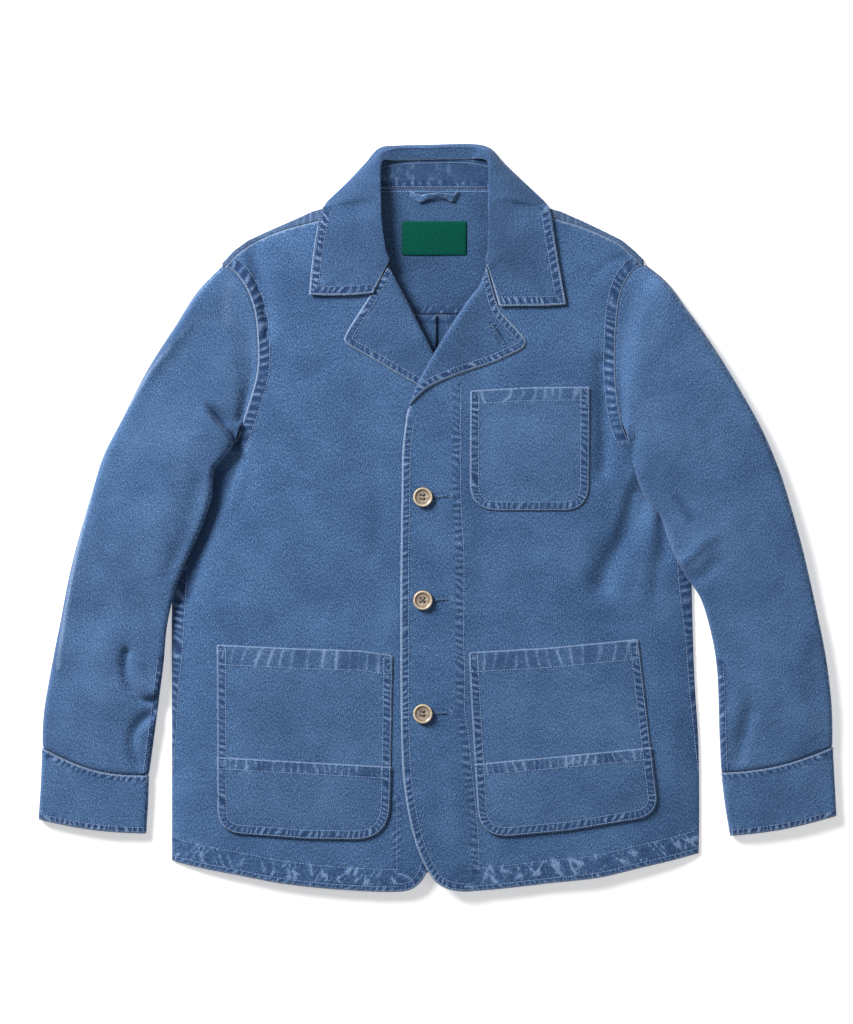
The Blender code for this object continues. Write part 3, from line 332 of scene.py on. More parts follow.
def awayFrom(seam, x, y):
    away, run = nearLine(x, y, seam["path"])
    return (away * seam["signed"] if seam["signed"] else np.abs(away)), run


def puckers(seam, away, run):
    # between -1 in the hollows and 1 on the rubbed tops
    half = (seam["end"] - seam["start"]) / 2
    across = (away - seam["start"]) / half - 1
    turns = run / seam["period"]
    seed = seam["seed"]
    wander = softNoise(turns * 0.45, across * 0.3, seed) * 1.5
    phase = turns + wander + puckerSkew * across
    small = softNoise(run / 1.9, away / 1.7, seed + 5) - 0.5
    if seam["kind"] == "rope":
        tops = np.cos(2 * math.pi * phase) * (0.3 + 0.75 * softNoise(turns * 0.8, 0.5, seed + 3))
        tops = tops * (1.3 - 0.75 * across**2) + small * 0.9 - 0.2
    elif seam["kind"] == "mouth":
        # thin pale strokes across the band, over soft broad mottling
        near = phase - puckerSkew * across
        stroke = np.exp(-((near - np.floor(near) - 0.5) / 0.12)**2)
        tops = (softNoise(turns * 0.55, across * 0.4, seed + 6) - 0.66) * 1.1 + small * 0.7
        tops = tops + stroke * (0.6 + 0.9 * softNoise(np.floor(near) * 0.9, across * 0.8, seed + 3))
    else:
        # thin raised wisps, where a slow field passes its middle value
        tops = -0.35 + small * 1.0
        for k, lean in enumerate((1.05, -1.05)):
            slow = softNoise(turns * 1.7 + lean * across, across * 0.45, seed + 7 * k)
            strong = ease((softNoise(turns * 0.9, across * 0.7, seed + 9 + k) - 0.3) / 0.4)
            tops = tops + (1.5 - 0.3 * k) * strong * np.exp(-((slow - 0.5) / 0.085)**2)
    inside = ease((1.12 - np.abs(across)) / 0.22)
    beside = np.exp(-((np.abs(across) - 1.0) * half / 4.5)**2) * (np.abs(across) > 1)
    faint = 0.3 * np.cos(2 * math.pi * phase * 0.5) * (softNoise(turns * 0.5, 0, seed + 2) > 0.45)
    tops = np.clip(tops * seam["strength"], -1.0, 1.0)
    return tops * inside + faint * beside * (1 - inside) * seam["strength"], across, inside


def seamField(bands, x, y):
    # the seam nearest to each point: its puckers, how far the band stands up, its stitches, and how
    # much shade is painted over its band
    ridge, lift, groove = np.zeros(len(x)), np.zeros(len(x)), np.zeros(len(x))
    closest, inBand = np.full(len(x), 9.0), np.zeros(len(x))
    for seam in bands:
        away, run = awayFrom(seam, x, y)
        value, across, inside = puckers(seam, away, run)
        better = np.abs(across) < closest
        closest = np.where(better, np.abs(across), closest)
        ridge = np.where(better, value, ridge)
        lift = np.maximum(lift, inside * seam["lift"])
        # the painted shade over the band
        inBand = np.maximum(inBand, inside * seam["shade"] / 0.18)
        for row in seam["rows"]:
            groove = np.maximum(groove, np.exp(-((away - row) / 0.75)**2))
    return ridge, lift, groove, inBand


# meshes: how finely a flat piece is divided at its rim, holes, rows of stitches, seams and
# underside, how far in its rounded edge lies, and the space kept round its rim and its stitches
division = {"rim": 2.4, "hole": 1.6, "row": 1.9, "fine": 1.7, "under": 9.0, "inner": 0.9,
            "besideRow": 0.8, "clear": 1.7, "clearRow": 1.5}
edgeWidth, stitchSink = 1.1, 0.3


def place(name, data):
    made = bpy.data.objects.new(name, data)
    bpy.context.scene.collection.objects.link(made)
    return made


def offsetLine(path, distance, closed=False):
    path = np.asarray(path, float)
    slope = (np.roll(path, -1, axis=0) - np.roll(path, 1, axis=0) if closed
             else np.gradient(path, axis=0))
    slope = slope / np.maximum(np.linalg.norm(slope, axis=1), 1e-9)[:, None]
    return path + np.stack([-slope[:, 1], slope[:, 0]], axis=1) * distance


def rowLines(seam, outline=None):
    # the seam's rows of stitches as lines, on the side where the cloth is
    lines = []
    for row in seam["rows"]:
        for sign in ((seam["signed"],) if seam["signed"] else (1, -1)):
            line = offsetLine(seam["path"], sign * row)
            if outline is not None and not seam["signed"]:
                middle = line[len(line) // 2:len(line) // 2 + 1]
                if not within(outline, *middle.T)[0]:
                    continue
            away, _ = awayFrom(seam, *line.T)
            line = line[np.abs(away - row) < 0.3]
            if len(line) > 1:
                lines.append(line)
    return lines


def pieceMesh(name, verts, faces, wearAndPaintedShade, clothMap):
    mesh = bpy.data.meshes.new(name)
    mesh.from_pydata((np.asarray(verts, float) * mm).tolist(), [], faces)
    # what the cloth's material reads: rubbed tops and pucker hollows with painted shade in them,
    # worn edge with painted crease highlights, and painted shade
    field = mesh.attributes.new("wearAndPaintedShade", "FLOAT_VECTOR", "POINT")
    field.data.foreach_set("vector", np.asarray(wearAndPaintedShade, np.float32).ravel())
    corner = np.empty(len(mesh.loops), int)
    mesh.loops.foreach_get("vertex_index", corner)
    clothMap = np.asarray(clothMap, np.float32)
    perCorner = clothMap if len(clothMap) == len(corner) else clothMap[corner]
    flat = mesh.uv_layers.new(name="cloth")
    flat.data.foreach_set("uv", (perCorner * mm).ravel())
    mesh.shade_smooth()
    return place(name, mesh)


def ringSpans(rings):
    # where each ring starts in the rows of points, and how many it has
    counts = [len(ring) for ring in rings]
    return [(sum(counts[:k]), count) for k, count in enumerate(counts)]


def triangulate(points, rings):
    edges = []
    for first, count in ringSpans(rings):
        edges += [(first + k, first + (k + 1) % count) for k in range(count)]
    verts, _, faces, origin, _, _ = delaunay_2d_cdt([Vector(p) for p in points], edges, [], 0, 1e-5)
    return np.array([o[0] if o else -1 for o in origin]), faces


def rolled(turn, x, y, z, base):
    # the cloth bends down to its roll line, and swells a little beside it
    away = np.abs(nearLine(x, y, turn["path"])[0])
    foot = base - layer + wall * 0.5
    swell = turn["height"] * np.exp(-(away / turn["reach"])**2) * ease((y - turn["from"]) / 40.0)
    return foot + (z + swell - foot) * np.sqrt(1 - (1 - np.clip(away / turn["radius"], 0, 1))**2)


def layCloth(name, outline, under, bands=(), holes=(), turn=None, thick=wall, seed=1, angle=0.0,
             edgeWorn=0.48, plain=None, shades=()):
    # a piece that lies flat: a rounded shell over a height function, finely divided at its seams
    ring = evenly(closeUp(outline), division["rim"])[:-1]
    area = np.sum(ring[:, 0] * np.roll(ring[:, 1], -1) - np.roll(ring[:, 0], -1) * ring[:, 1]) / 2
    if area < 0:
        ring = ring[::-1]
    inner = offsetLine(ring, division["inner"], closed=True)
    rims = [ring] + [evenly(closeUp(hole), division["hole"])[:-1] for hole in holes]
    low, high = ring.min(axis=0), ring.max(axis=0)
    closed = closeUp(ring)
    seamRows = [line for seam in bands for line in rowLines(seam, ring)]
    # each row of stitches has a row of points on either side, so that it can sink in
    rows = [evenly(offsetLine(line, side * division["besideRow"]), division["row"])
            for line in seamRows for side in (-1, 0, 1)]
    rows = np.concatenate(rows) if rows else np.zeros((0, 2))

    def onCloth(x, y):
        ok = within(ring, x, y)
        for hole in rims[1:]:
            ok &= ~within(hole, x, y)
        return ok

    def grid(size):
        # staggered points, and every second one of every second row
        gx, gy = np.meshgrid(np.arange(low[0], high[0], size),
                             np.arange(low[1], high[1], size * 0.866))
        j, i = np.indices(gx.shape)
        gx = gx + (j % 2) * size / 2
        sparse = (j % 2 == 0) & ((i + j // 2 % 2) % 2 == 0)
        ok = onCloth(gx.ravel(), gy.ravel())
        return gx.ravel()[ok], gy.ravel()[ok], sparse.ravel()[ok]

    def cut(points):
        # triangles between all the points, without those outside the cloth
        spot, faces = triangulate(points, rims)
        faces = spot[np.array(faces)]
        return faces[onCloth(*points[faces].mean(axis=1).T)].tolist()

    gx, gy, sparse = grid(division["fine"])
    near = np.abs(nearLine(gx, gy, closed)[0])
    for hole in rims[1:]:
        near = np.minimum(near, np.abs(nearLine(gx, gy, closeUp(hole))[0]) + 0.4)
    busy, crowd = np.zeros(len(gx), bool), np.zeros(len(gx), bool)
    for seam in bands:
        away, _ = awayFrom(seam, gx, gy)
        busy |= (away > seam["start"] - 1.5) & (away < seam["end"] + 1.5)
        for row in seam["rows"]:
            crowd |= np.abs(away - row) < division["clearRow"]
    keep = (near > division["clear"]) & ~crowd & (busy | sparse)
    if len(rows):
        far = np.abs(nearLine(*rows.T, closed)[0])
        rows = rows[(far > 1.3) & within(ring, *rows.T)]
    points = np.concatenate(rims + [inner, rows, np.stack([gx[keep], gy[keep]], axis=1)])
    edgeCount = sum(len(rim) for rim in rims)
    topFaces = cut(points)
    x, y = points.T
    # the underside has fewer points
    ux, uy, _ = grid(division["under"])
    ok = np.abs(nearLine(ux, uy, closed)[0]) > 5
    below = np.concatenate(rims + [inner[::2], np.stack([ux[ok], uy[ok]], axis=1)])
    lowFaces = cut(below)
    depth = max([seam["depth"] for seam in bands], default=0.0)

    def surface(x, y):
        ridge, lift, groove, inBand = seamField(bands, x, y)
        base = under(x, y)
        z = base + thick + lift + depth * ridge - stitchSink * groove
        return z, base, ridge, groove, inBand

    z, base, ridge, groove, inBand = surface(x, y)
    z[edgeCount:edgeCount + len(inner)] -= 0.2
    rimZ = base + thick * 0.45
    if turn:
        onRoll = np.abs(nearLine(x, y, turn["path"])[0]) < 1.0
        rimZ = np.where(onRoll, base - layer + wall * 0.5, rimZ)
        z = rolled(turn, x, y, z, base)
    z[:edgeCount] = rimZ[:edgeCount]
    lowX, lowY = below[edgeCount:].T
    verts = np.concatenate([np.stack([x, y, z], axis=1),
                            np.stack([lowX, lowY, under(lowX, lowY)], axis=1)])
    shiftTo = len(points) - edgeCount
    allFaces = topFaces + [[k if k < edgeCount else k + shiftTo for k in reversed(face)]
                           for face in lowFaces]
    edge = np.exp(-(np.abs(nearLine(x, y, closed)[0]) / edgeWidth)**2)
    if plain is not None:
        # no worn line where the cloth goes on round the side
        edge = edge * ease(np.abs(nearLine(x, y, plain)[0]) / 5.0)
    wearAndPaintedShade = np.zeros((len(verts), 3))
    # x: puckers, with shade painted into the stitches' grooves; y: worn edge; z: shade painted over
    # the seam bands and along the given shades
    wearAndPaintedShade[:len(x)] = np.stack([ridge - 0.35 * groove, edge * edgeWorn,
                              -0.18 * inBand + foldField(shades, x, y)], axis=1)
    turned = math.radians(angle)
    u = verts[:, 0] * math.cos(turned) + verts[:, 1] * math.sin(turned)
    v = -verts[:, 0] * math.sin(turned) + verts[:, 1] * math.cos(turned)
    made = pieceMesh(name, verts, allFaces, wearAndPaintedShade, np.stack([u + seed * 137, v + seed * 91], axis=1))
    for line in seamRows:
        line = line[within(ring, *line.T)]
        if len(line) > 2:
            z, base, *_ = surface(*line.T)
            if turn:
                z = rolled(turn, *line.T, z, base)
            stitchLines.append(np.column_stack([line, z + 0.2]))
    print(f"{name}: {len(allFaces)} triangles")
    return made


stitchLines = []


# materials
def hexColour(code):
    # an sRGB hex value as linear colour
    part = [int(code[k:k + 2], 16) / 255 for k in (1, 3, 5)]
    return [v / 12.92 if v <= 0.04045 else ((v + 0.055) / 1.055)**2.4 for v in part] + [1.0]


def feed(node, inputs):
    # inputs by name or in order: each a value, a socket, or a node for its first output in use
    for key, value in inputs.items() if isinstance(inputs, dict) else enumerate(inputs):
        if isinstance(value, bpy.types.Node):
            value = next(socket for socket in value.outputs if socket.enabled)
        if isinstance(value, bpy.types.NodeSocket):
            node.id_data.links.new(value, node.inputs[key])
        else:
            node.inputs[key].default_value = value


def addNode(tree, kind, inputs=(), stops=(), **settings):
    # a node with its settings and links; "stops" are the places and colours of a ramp
    prefix = {"SHADER": "ShaderNode", "GEOMETRY": "GeometryNode"}[tree.type]
    made = tree.nodes.new(kind if "Node" in kind else prefix + kind)
    for key, value in settings.items():
        setattr(made, key, value)
    for k, (at, colour) in enumerate(stops):
        stop = made.color_ramp.elements[k] if k < 2 else made.color_ramp.elements.new(at)
        stop.position, stop.color = at, hexColour(colour)
    feed(made, inputs)
    return made


def newMaterial(name):
    made = bpy.data.materials.new(name)
    made.use_nodes = True
    return made, made.node_tree, made.node_tree.nodes["Principled BSDF"]


def washedCanvas(name, dark, mid, pale):
    # Cotton canvas, yarn dyed and garment washed: matt, with short slubs along both threads, dye
    # rubbed off every raised edge and left dark in the puckers, where shade is painted too. Its
    # real threads are 0.5 mm apart, too fine to show at a millimetre a pixel, so they are drawn
    # about 1 mm apart.
    made, tree, shader = newMaterial(name)
    flat = addNode(tree, "UVMap", uv_map="cloth")
    slubs = []
    for scale, degrees, start, detail in (
            ((1280, 620, 1), 0, (0, 0, 0), 2.0), ((600, 1300, 1), 0, (0, 0, 0), 2.0),
            ((1080, 430, 1), 56, (0, 0, 0), 1.0), ((1120, 450, 1), -60, (7, 3, 0), 1.0)):
        along = addNode(tree, "Mapping", {"Vector": flat, "Location": start, "Scale": scale,
                                          "Rotation": (0, 0, math.radians(degrees))})
        slubs.append(addNode(tree, "TexNoise", {"Vector": along, "Scale": 1.0, "Detail": detail}))
    threads = addNode(tree, "Math", slubs[:2], operation="ADD")
    crossed = addNode(tree, "Math", slubs[2:], operation="ADD")
    grain = addNode(tree, "Math", (threads, crossed), operation="ADD")
    grainShare = addNode(tree, "MapRange", {"Value": grain, "From Min": 1.69, "From Max": 2.31})
    # slow fading from washing, 60 mm and 15 mm across
    cloud = addNode(tree, "TexNoise", {"Vector": flat, "Scale": 17.0, "Detail": 4.0,
                                       "Roughness": 0.62})
    cloudShare = addNode(tree, "MapRange", {"Value": cloud, "From Min": 0.3, "From Max": 0.7,
                                            "To Min": -0.16, "To Max": 0.16})
    tone = addNode(tree, "Math", (grainShare, cloudShare), operation="ADD")
    dyed = addNode(tree, "ValToRGB", (tone,), stops=((0.0, dark), (0.5, mid), (1.0, pale)))
    # wearAndPaintedShade: x is the pucker's top or hollow, with painted shade in hollows and stitch
    # grooves, y the worn folded edge and painted crease highlights, z painted shade
    wornAndShaded = addNode(tree, "Attribute", attribute_name="wearAndPaintedShade")
    parts = addNode(tree, "SeparateXYZ", (wornAndShaded.outputs["Vector"],)).outputs
    rough = addNode(tree, "Math", (grainShare, -0.5), operation="ADD")
    jitter = addNode(tree, "Math", (rough, 0.9), operation="MULTIPLY")
    top = addNode(tree, "MapRange", {"Value": parts["X"], "From Min": 0.08, "From Max": 0.95})
    topRough = addNode(tree, "Math", (jitter, top, top), operation="MULTIPLY_ADD")
    # the hollow colour goes on pucker hollows, as dye held there and as painted shade, and on
    # stitch grooves as painted shade; deep is the shade painted from z
    hollow = addNode(tree, "MapRange", {"Value": parts["X"], "From Min": -0.05, "From Max": -0.9})
    deep = addNode(tree, "MapRange", {"Value": parts["Z"], "From Min": 0.0, "From Max": -1.0})
    hollowAndShade = addNode(tree, "Math", (hollow, 0.9, deep), operation="MULTIPLY_ADD", use_clamp=True)
    topShare = addNode(tree, "Math", (topRough, 0.62), operation="MULTIPLY", use_clamp=True)
    edgeRough = addNode(tree, "Math", (jitter, 1.0), operation="ADD")
    edgeShare = addNode(tree, "Math", (edgeRough, parts["Y"]), operation="MULTIPLY")
    edgeShade = addNode(tree, "Math", (edgeShare, 0.72), operation="MULTIPLY", use_clamp=True)
    for share, code in zip((hollowAndShade, topShare, edgeShade), seamColours):
        dyed = addNode(tree, "Mix", {"Factor": share, "A": dyed, "B": hexColour(code)},
                       data_type="RGBA")
    # threads stand 0.35 mm, and the small crumple of washed cloth 0.6 mm
    crumple = addNode(tree, "TexNoise", {"Vector": flat, "Scale": 60.0, "Detail": 1.0})
    fine = addNode(tree, "Bump", {"Height": grainShare, "Strength": 0.7, "Distance": 0.0005})
    soft = addNode(tree, "Bump", {"Height": crumple, "Strength": 0.5, "Distance": 0.0012,
                                  "Normal": fine})
    feed(shader, {"Base Color": dyed, "Normal": soft, "Roughness": 0.88, "IOR": 1.5,
                  "Specular IOR Level": 0.28, "Sheen Weight": 0.12, "Sheen Roughness": 0.5})
    return made


def spunThread(name, scale, dark, pale, roughness):
    # twisted thread, lighter along the tops of its plies
    made, tree, shader = newMaterial(name)
    twist = addNode(tree, "TexNoise", {"Scale": scale})
    dyed = addNode(tree, "ValToRGB", (twist,), stops=((0.0, dark), (1.0, pale)))
    feed(shader, {"Base Color": dyed, "Roughness": roughness})
    return made


# the dye in a hollow, also the colour of all painted shade; on a rubbed top; and along a worn edge,
# also used for painted highlights on pressed creases
seamColours = ("#24406a", "#93afd7", "#b2c6e2")
canvasFront = washedCanvas("washedCanvasFront", "#23406a", "#3d618e", "#6389b6")
# painted shade: the same canvas made darker for the back, the yoke and the stand, which are seen
# inside the neck in shade
canvasBackShaded = washedCanvas("washedCanvasBackShaded", "#1e375a", "#33537c", "#50749f")
canvasSleeve = washedCanvas("washedCanvasSleeve", "#26446d", "#426592", "#678bb8")
canvasTrim = washedCanvas("washedCanvasTrim", "#25426a", "#416490", "#658ab6")
canvasCollar = washedCanvas("washedCanvasCollar", "#213c61", "#3a5b85", "#5a7dab")


# the fronts, and what is sewn on them
outlines = {side["name"]: joined(
    flow(side["seam"]), flow(side["neck"]), flow(side["roll"]), flow(side["edge"]),
    flow(side["hem"]), flow(side["side"][::-1]), flow(side["underarm"][::-1]),
    flow(side["armhole"][::-1])) for side in (right, left)}
facing = [(25, 140), (25, 19), (28, -34), (28, -129), (29, -172), (29, -204), (33.5, -235),
          (36.5, -267), (40, -299), (42, -320), (44, -352), (44, -372)]
facingRight = [(-43, -299), (-43, -372)]
# where the side seams have rolled to the front
sideSeams = {
    "right": [(-266, -60), (-268.7, -104), (-270.8, -142), (-274, -172), (-276, -203), (-278, -235),
              (-281, -270)],
    "left": [(248.6, -23), (254, -44.5), (256, -66), (258, -87), (261.3, -112), (264.5, -140),
             (266.6, -172), (269.8, -203), (273, -235), (277, -267)],
}
buttons = {"x": -15.5, "y": (22.0, -87.0, -207.0), "eye": 2.4, "slit": 26.0, "slant": 1.6}


def circle(x, y, radius, count):
    turns = 2 * math.pi * np.arange(count) / count
    return np.stack([x + radius * np.cos(turns), y + radius * np.sin(turns)], axis=1)


def frontBands(side, seed, edge, armhole):
    # hem, front edge and armhole
    hem = flow(side["hem"])
    return [band(hem, 5.5, 25, (5.5, 24), "hem", 8.5, depth=0.4, seed=seed, shade=0.0,
                 strength=1.15),
            band(hem, 0, 5.5, (), period=6.2, seed=seed + 10),
            band(flow(side["edge"]), seed=seed + 1, **edge),
            band(flow(side["armhole"]), 0, 13, (1.6, 12.6), depth=0.4, seed=seed + 2, strength=0.8,
                 **armhole)]


def closedSlit(start, end, width, **more):
    # the cloth is creased round a slit that lies closed
    return band([start, end], 0, width, (), depth=0.03, lift=0.0, **more)


# each buttonhole lies closed, so only its eye round the button's shank is open
buttonEyes = [circle(buttons["x"], y, buttons["eye"], 14) for y in buttons["y"]]
frontRight = layCloth(
    "frontRight", outlines["right"], drape,
    # more shade is painted over the armhole band, which faces away from the lamp
    bands=frontBands(right, 2, {}, {"period": 8.5, "shade": 0.5}) + [
        band(flow(sideSeams["right"]), -0.8, 12, (0,), period=9, signed=-1, seed=5, strength=0.8),
        band(flow(facingRight), -5, 5, (0,), signed=1, seed=6, shade=0.05, strength=0.7)],
    seed=1, edgeWorn=0.9, plain=right["side"],
    # painted shade under the sleeve's edge beside the body and beside the armhole band, and a faint
    # darkening below the shoulder
    shades=[(11, -0.75, [(-232, 50), (-246, -4), (-262, -44), (-272, -84)]),
            (4.5, -0.5, [(-196, 288), (-190, 256), (-181, 226), (-177, 196)], (0.3, 0.5)),
            (34, -0.1, [(-170, 270), (-110, 236)])])
frontLeft = layCloth(
    "frontLeft", outlines["left"], lap, holes=buttonEyes,
    bands=frontBands(left, 7, {"end": 9.5, "rows": (2.0, 8.6), "period": 6.2},
                     {"period": 8.0, "shade": 0.3}) + [
        band(flow(sideSeams["left"]), -0.8, 13, (0,), period=9, signed=1, seed=10, shade=0.3,
             strength=0.7),
        band(flow(facing), -1.2, 9.5, (0.2,), signed=-1, lift=0.15, period=7.5, seed=11, shade=0.02,
             strength=0.7),
        *(closedSlit((buttons["x"] + 4, y),
                     (buttons["x"] + buttons["slit"] + 3, y + buttons["slant"]), 3.4, period=4.5,
                     shade=0.35, strength=0.8, seed=14) for y in buttons["y"])],
    seed=2, edgeWorn=1.0, plain=left["side"])

lapels = {
    "right": [(-52, 269), (-60, 255), (-69, 240), (-84, 216), (-97, 195), (-99, 188), (-93, 182),
              (-72, 170), (-50, 157), (-31, 146), (-13, 136), (4, 132)],
    "left": [(-31, 116), (-21, 128), (-9, 138), (10, 147), (34, 156), (58, 164), (78, 173),
             (91, 180), (94, 187), (88, 196), (76, 209), (66, 221), (58, 246), (52, 269)],
    "slit": [(57, 205.5), (69, 186)],
}
rollRight, rollLeft = flow(right["roll"][:-1]), flow(left["roll"][:-1])
lapelLineRight, lapelLineLeft = flow(lapels["right"]), flow(lapels["left"])


def above(under, lift, rise=None):
    # the underside of a layer that lies on another one
    return lambda x, y: under(x, y) + lift + (rise(x, y) if rise else 0.0)


lapelRight = layCloth(
    "lapelRight", joined(lapelLineRight, [(4, 132), (4, 152)], rollRight[::-1]),
    above(drape, layer), bands=[band(lapelLineRight, 0, 8.5, (1.8, 8.0), seed=12)],
    turn={"path": rollRight, "radius": 3.8, "height": 2.0, "reach": 18, "from": 150}, seed=3,
    angle=35, edgeWorn=0.9, plain=rollRight)
lapelLeft = layCloth(
    "lapelLeft", joined(lapelLineLeft, rollLeft), above(lap, layer),
    bands=[band(lapelLineLeft, 0, 8.5, (1.8, 8.0), seed=13),
           closedSlit(*lapels["slit"], 4.0, period=4.0, shade=0.3, seed=16)],
    turn={"path": rollLeft, "radius": 4.4, "height": 1.5, "reach": 19, "from": 105}, seed=4,
    angle=-35, edgeWorn=1.3, plain=rollLeft)

# patch pockets: x, y and corner radius, with the mouth's points first
pockets = {
    "chest": {"corners": [(34.5, 135, 2), (98, 138.5, 0), (161.5, 139, 2), (161, 51, 0),
                          (160.5, 7.5, 28), (34, 7.5, 30)], "mouth": 3, "hem": 15, "puff": 0.8},
    "right": {"corners": [(-234, -134, 2), (-146, -138, 0), (-82, -140, 0), (-47, -145, 3),
                          (-49, -267, 0), (-51, -341, 38), (-135, -340, 0), (-233, -333, 26)],
              "mouth": 4, "hem": 22, "puff": 1.0, "patch": [(-240, -252.5), (-40, -263.5)]},
    "left": {"corners": [(33, -142, 2), (119, -137, 0), (213, -128, 3), (218, -172, 0),
                         (231, -283, 0), (236, -315, 26), (140, -331, 0), (44, -340, 34),
                         (35.5, -193, 0)],
             "mouth": 3, "hem": 22, "puff": 1.0, "patch": [(30, -261), (240, -241.5)]},
}


def pocketLines(sizes):
    # the mouth's line, and the line that is sewn down from one end of it round to the other
    ring = rounded(sizes["corners"], 2.0)
    end = np.array(sizes["corners"][sizes["mouth"] - 1][:2], float)
    at = int(np.argmin(np.linalg.norm(ring - end, axis=1)))
    return ring, ring[:at + 1], np.concatenate([ring[at:], ring[:1]])


def pocketRise(sizes):
    # the mouth stands a little open between its tacked ends
    sewn = pocketLines(sizes)[2]
    deep = np.array(sizes["corners"])[:, 1]

    def rise(x, y):
        inwards = np.minimum(np.abs(nearLine(x, y, sewn)[0]) / 30.0, 1.0)
        up = np.clip((y - deep.min()) / (deep.max() - deep.min()), 0, 1)
        return sizes["puff"] * ease(inwards) * (0.35 + 0.65 * up)
    return rise


def makePocket(name, sizes, under, seed):
    ring, mouth, sewn = pocketLines(sizes)
    for corner in (mouth[0], mouth[-1]):
        tacks.append((corner, under))
    return layCloth(name, ring, above(under, layer, pocketRise(sizes)),
                    bands=[band(sewn, 0, 10, (1.6, 9.4), seed=seed),
                           band(mouth, 0, sizes["hem"], (1.3, sizes["hem"] - 1.0), "mouth", 13,
                                seed=seed + 1, shade=0.1, strength=0.75)], seed=seed)


tacks = []


def makePatch(name, sizes, under, seed):
    # the lower half's second layer, caught in the same rows of stitches
    ring, _, sewn = pocketLines(sizes)
    height = ring[:, 1] - readLine(sizes["patch"], ring[:, 0])
    line = []
    for k in range(len(ring)):
        n = (k + 1) % len(ring)
        if height[k] < 0:
            line.append(ring[k])
        if (height[k] < 0) != (height[n] < 0):
            t = height[k] / (height[k] - height[n])
            line.append(ring[k] + (ring[n] - ring[k]) * t)
    top = flow(sizes["patch"], 2.0)
    return layCloth(name, np.array(line), above(under, 2 * layer, pocketRise(sizes)),
                    bands=[band(sewn, 0, 10, (1.6, 9.4), seed=seed),
                           band(top, 0, 13, (1.3, 12.4), "mouth", 8.0, seed=seed + 1)], seed=seed)


pocketChest = makePocket("pocketChest", pockets["chest"], lap, 20)
pocketRight = makePocket("pocketRight", pockets["right"], drape, 22)
pocketLeft = makePocket("pocketLeft", pockets["left"], lap, 24)
patchRight = makePatch("pocketRightPatch", pockets["right"], drape, 26)
patchLeft = makePatch("pocketLeftPatch", pockets["left"], lap, 28)


# pieces made of rows of points: a grid, which Solidify gives its thickness
def gridCloth(name, rows, wearAndPaintedShade, clothMap, closedRows=False, flip=False, offset=0.0, thickness=wall):
    starts = np.cumsum([0] + [len(row) for row in rows])
    faces, corners = [], []
    for i in range(len(rows) - 1):
        count = min(len(rows[i]), len(rows[i + 1]))
        for k in range(count if closedRows else count - 1):
            quad = [(i, k), (i, k + 1), (i + 1, k + 1), (i + 1, k)][::-1 if flip else 1]
            faces.append([int(starts[row] + n % count) for row, n in quad])
            # a closed row's map has one place more, where it meets itself
            corners += [clothMap[row][n] for row, n in quad]
    made = pieceMesh(name, np.concatenate(rows), faces, np.concatenate(wearAndPaintedShade), corners)
    thick = made.modifiers.new("wall", "SOLIDIFY")
    thick.thickness = thickness * mm
    thick.offset = offset
    thick.use_even_offset = False
    print(f"{name}: {len(faces) * 4} triangles")
    return made


def through(table, at):
    # a smooth curve through a table's rows, read at fractional row numbers
    p = np.array(table, float)
    slope = np.gradient(p, axis=0)
    i = np.clip(np.floor(at).astype(int), 0, len(p) - 2)
    return hermite((at - i)[:, None], p[i], p[i + 1], slope[i], slope[i + 1])


def alongLine(path, share):
    run = lengthAlong(path)
    at = np.asarray(share) * run[-1]
    return np.stack([np.interp(at, run, path[:, 0]), np.interp(at, run, path[:, 1])], axis=-1)


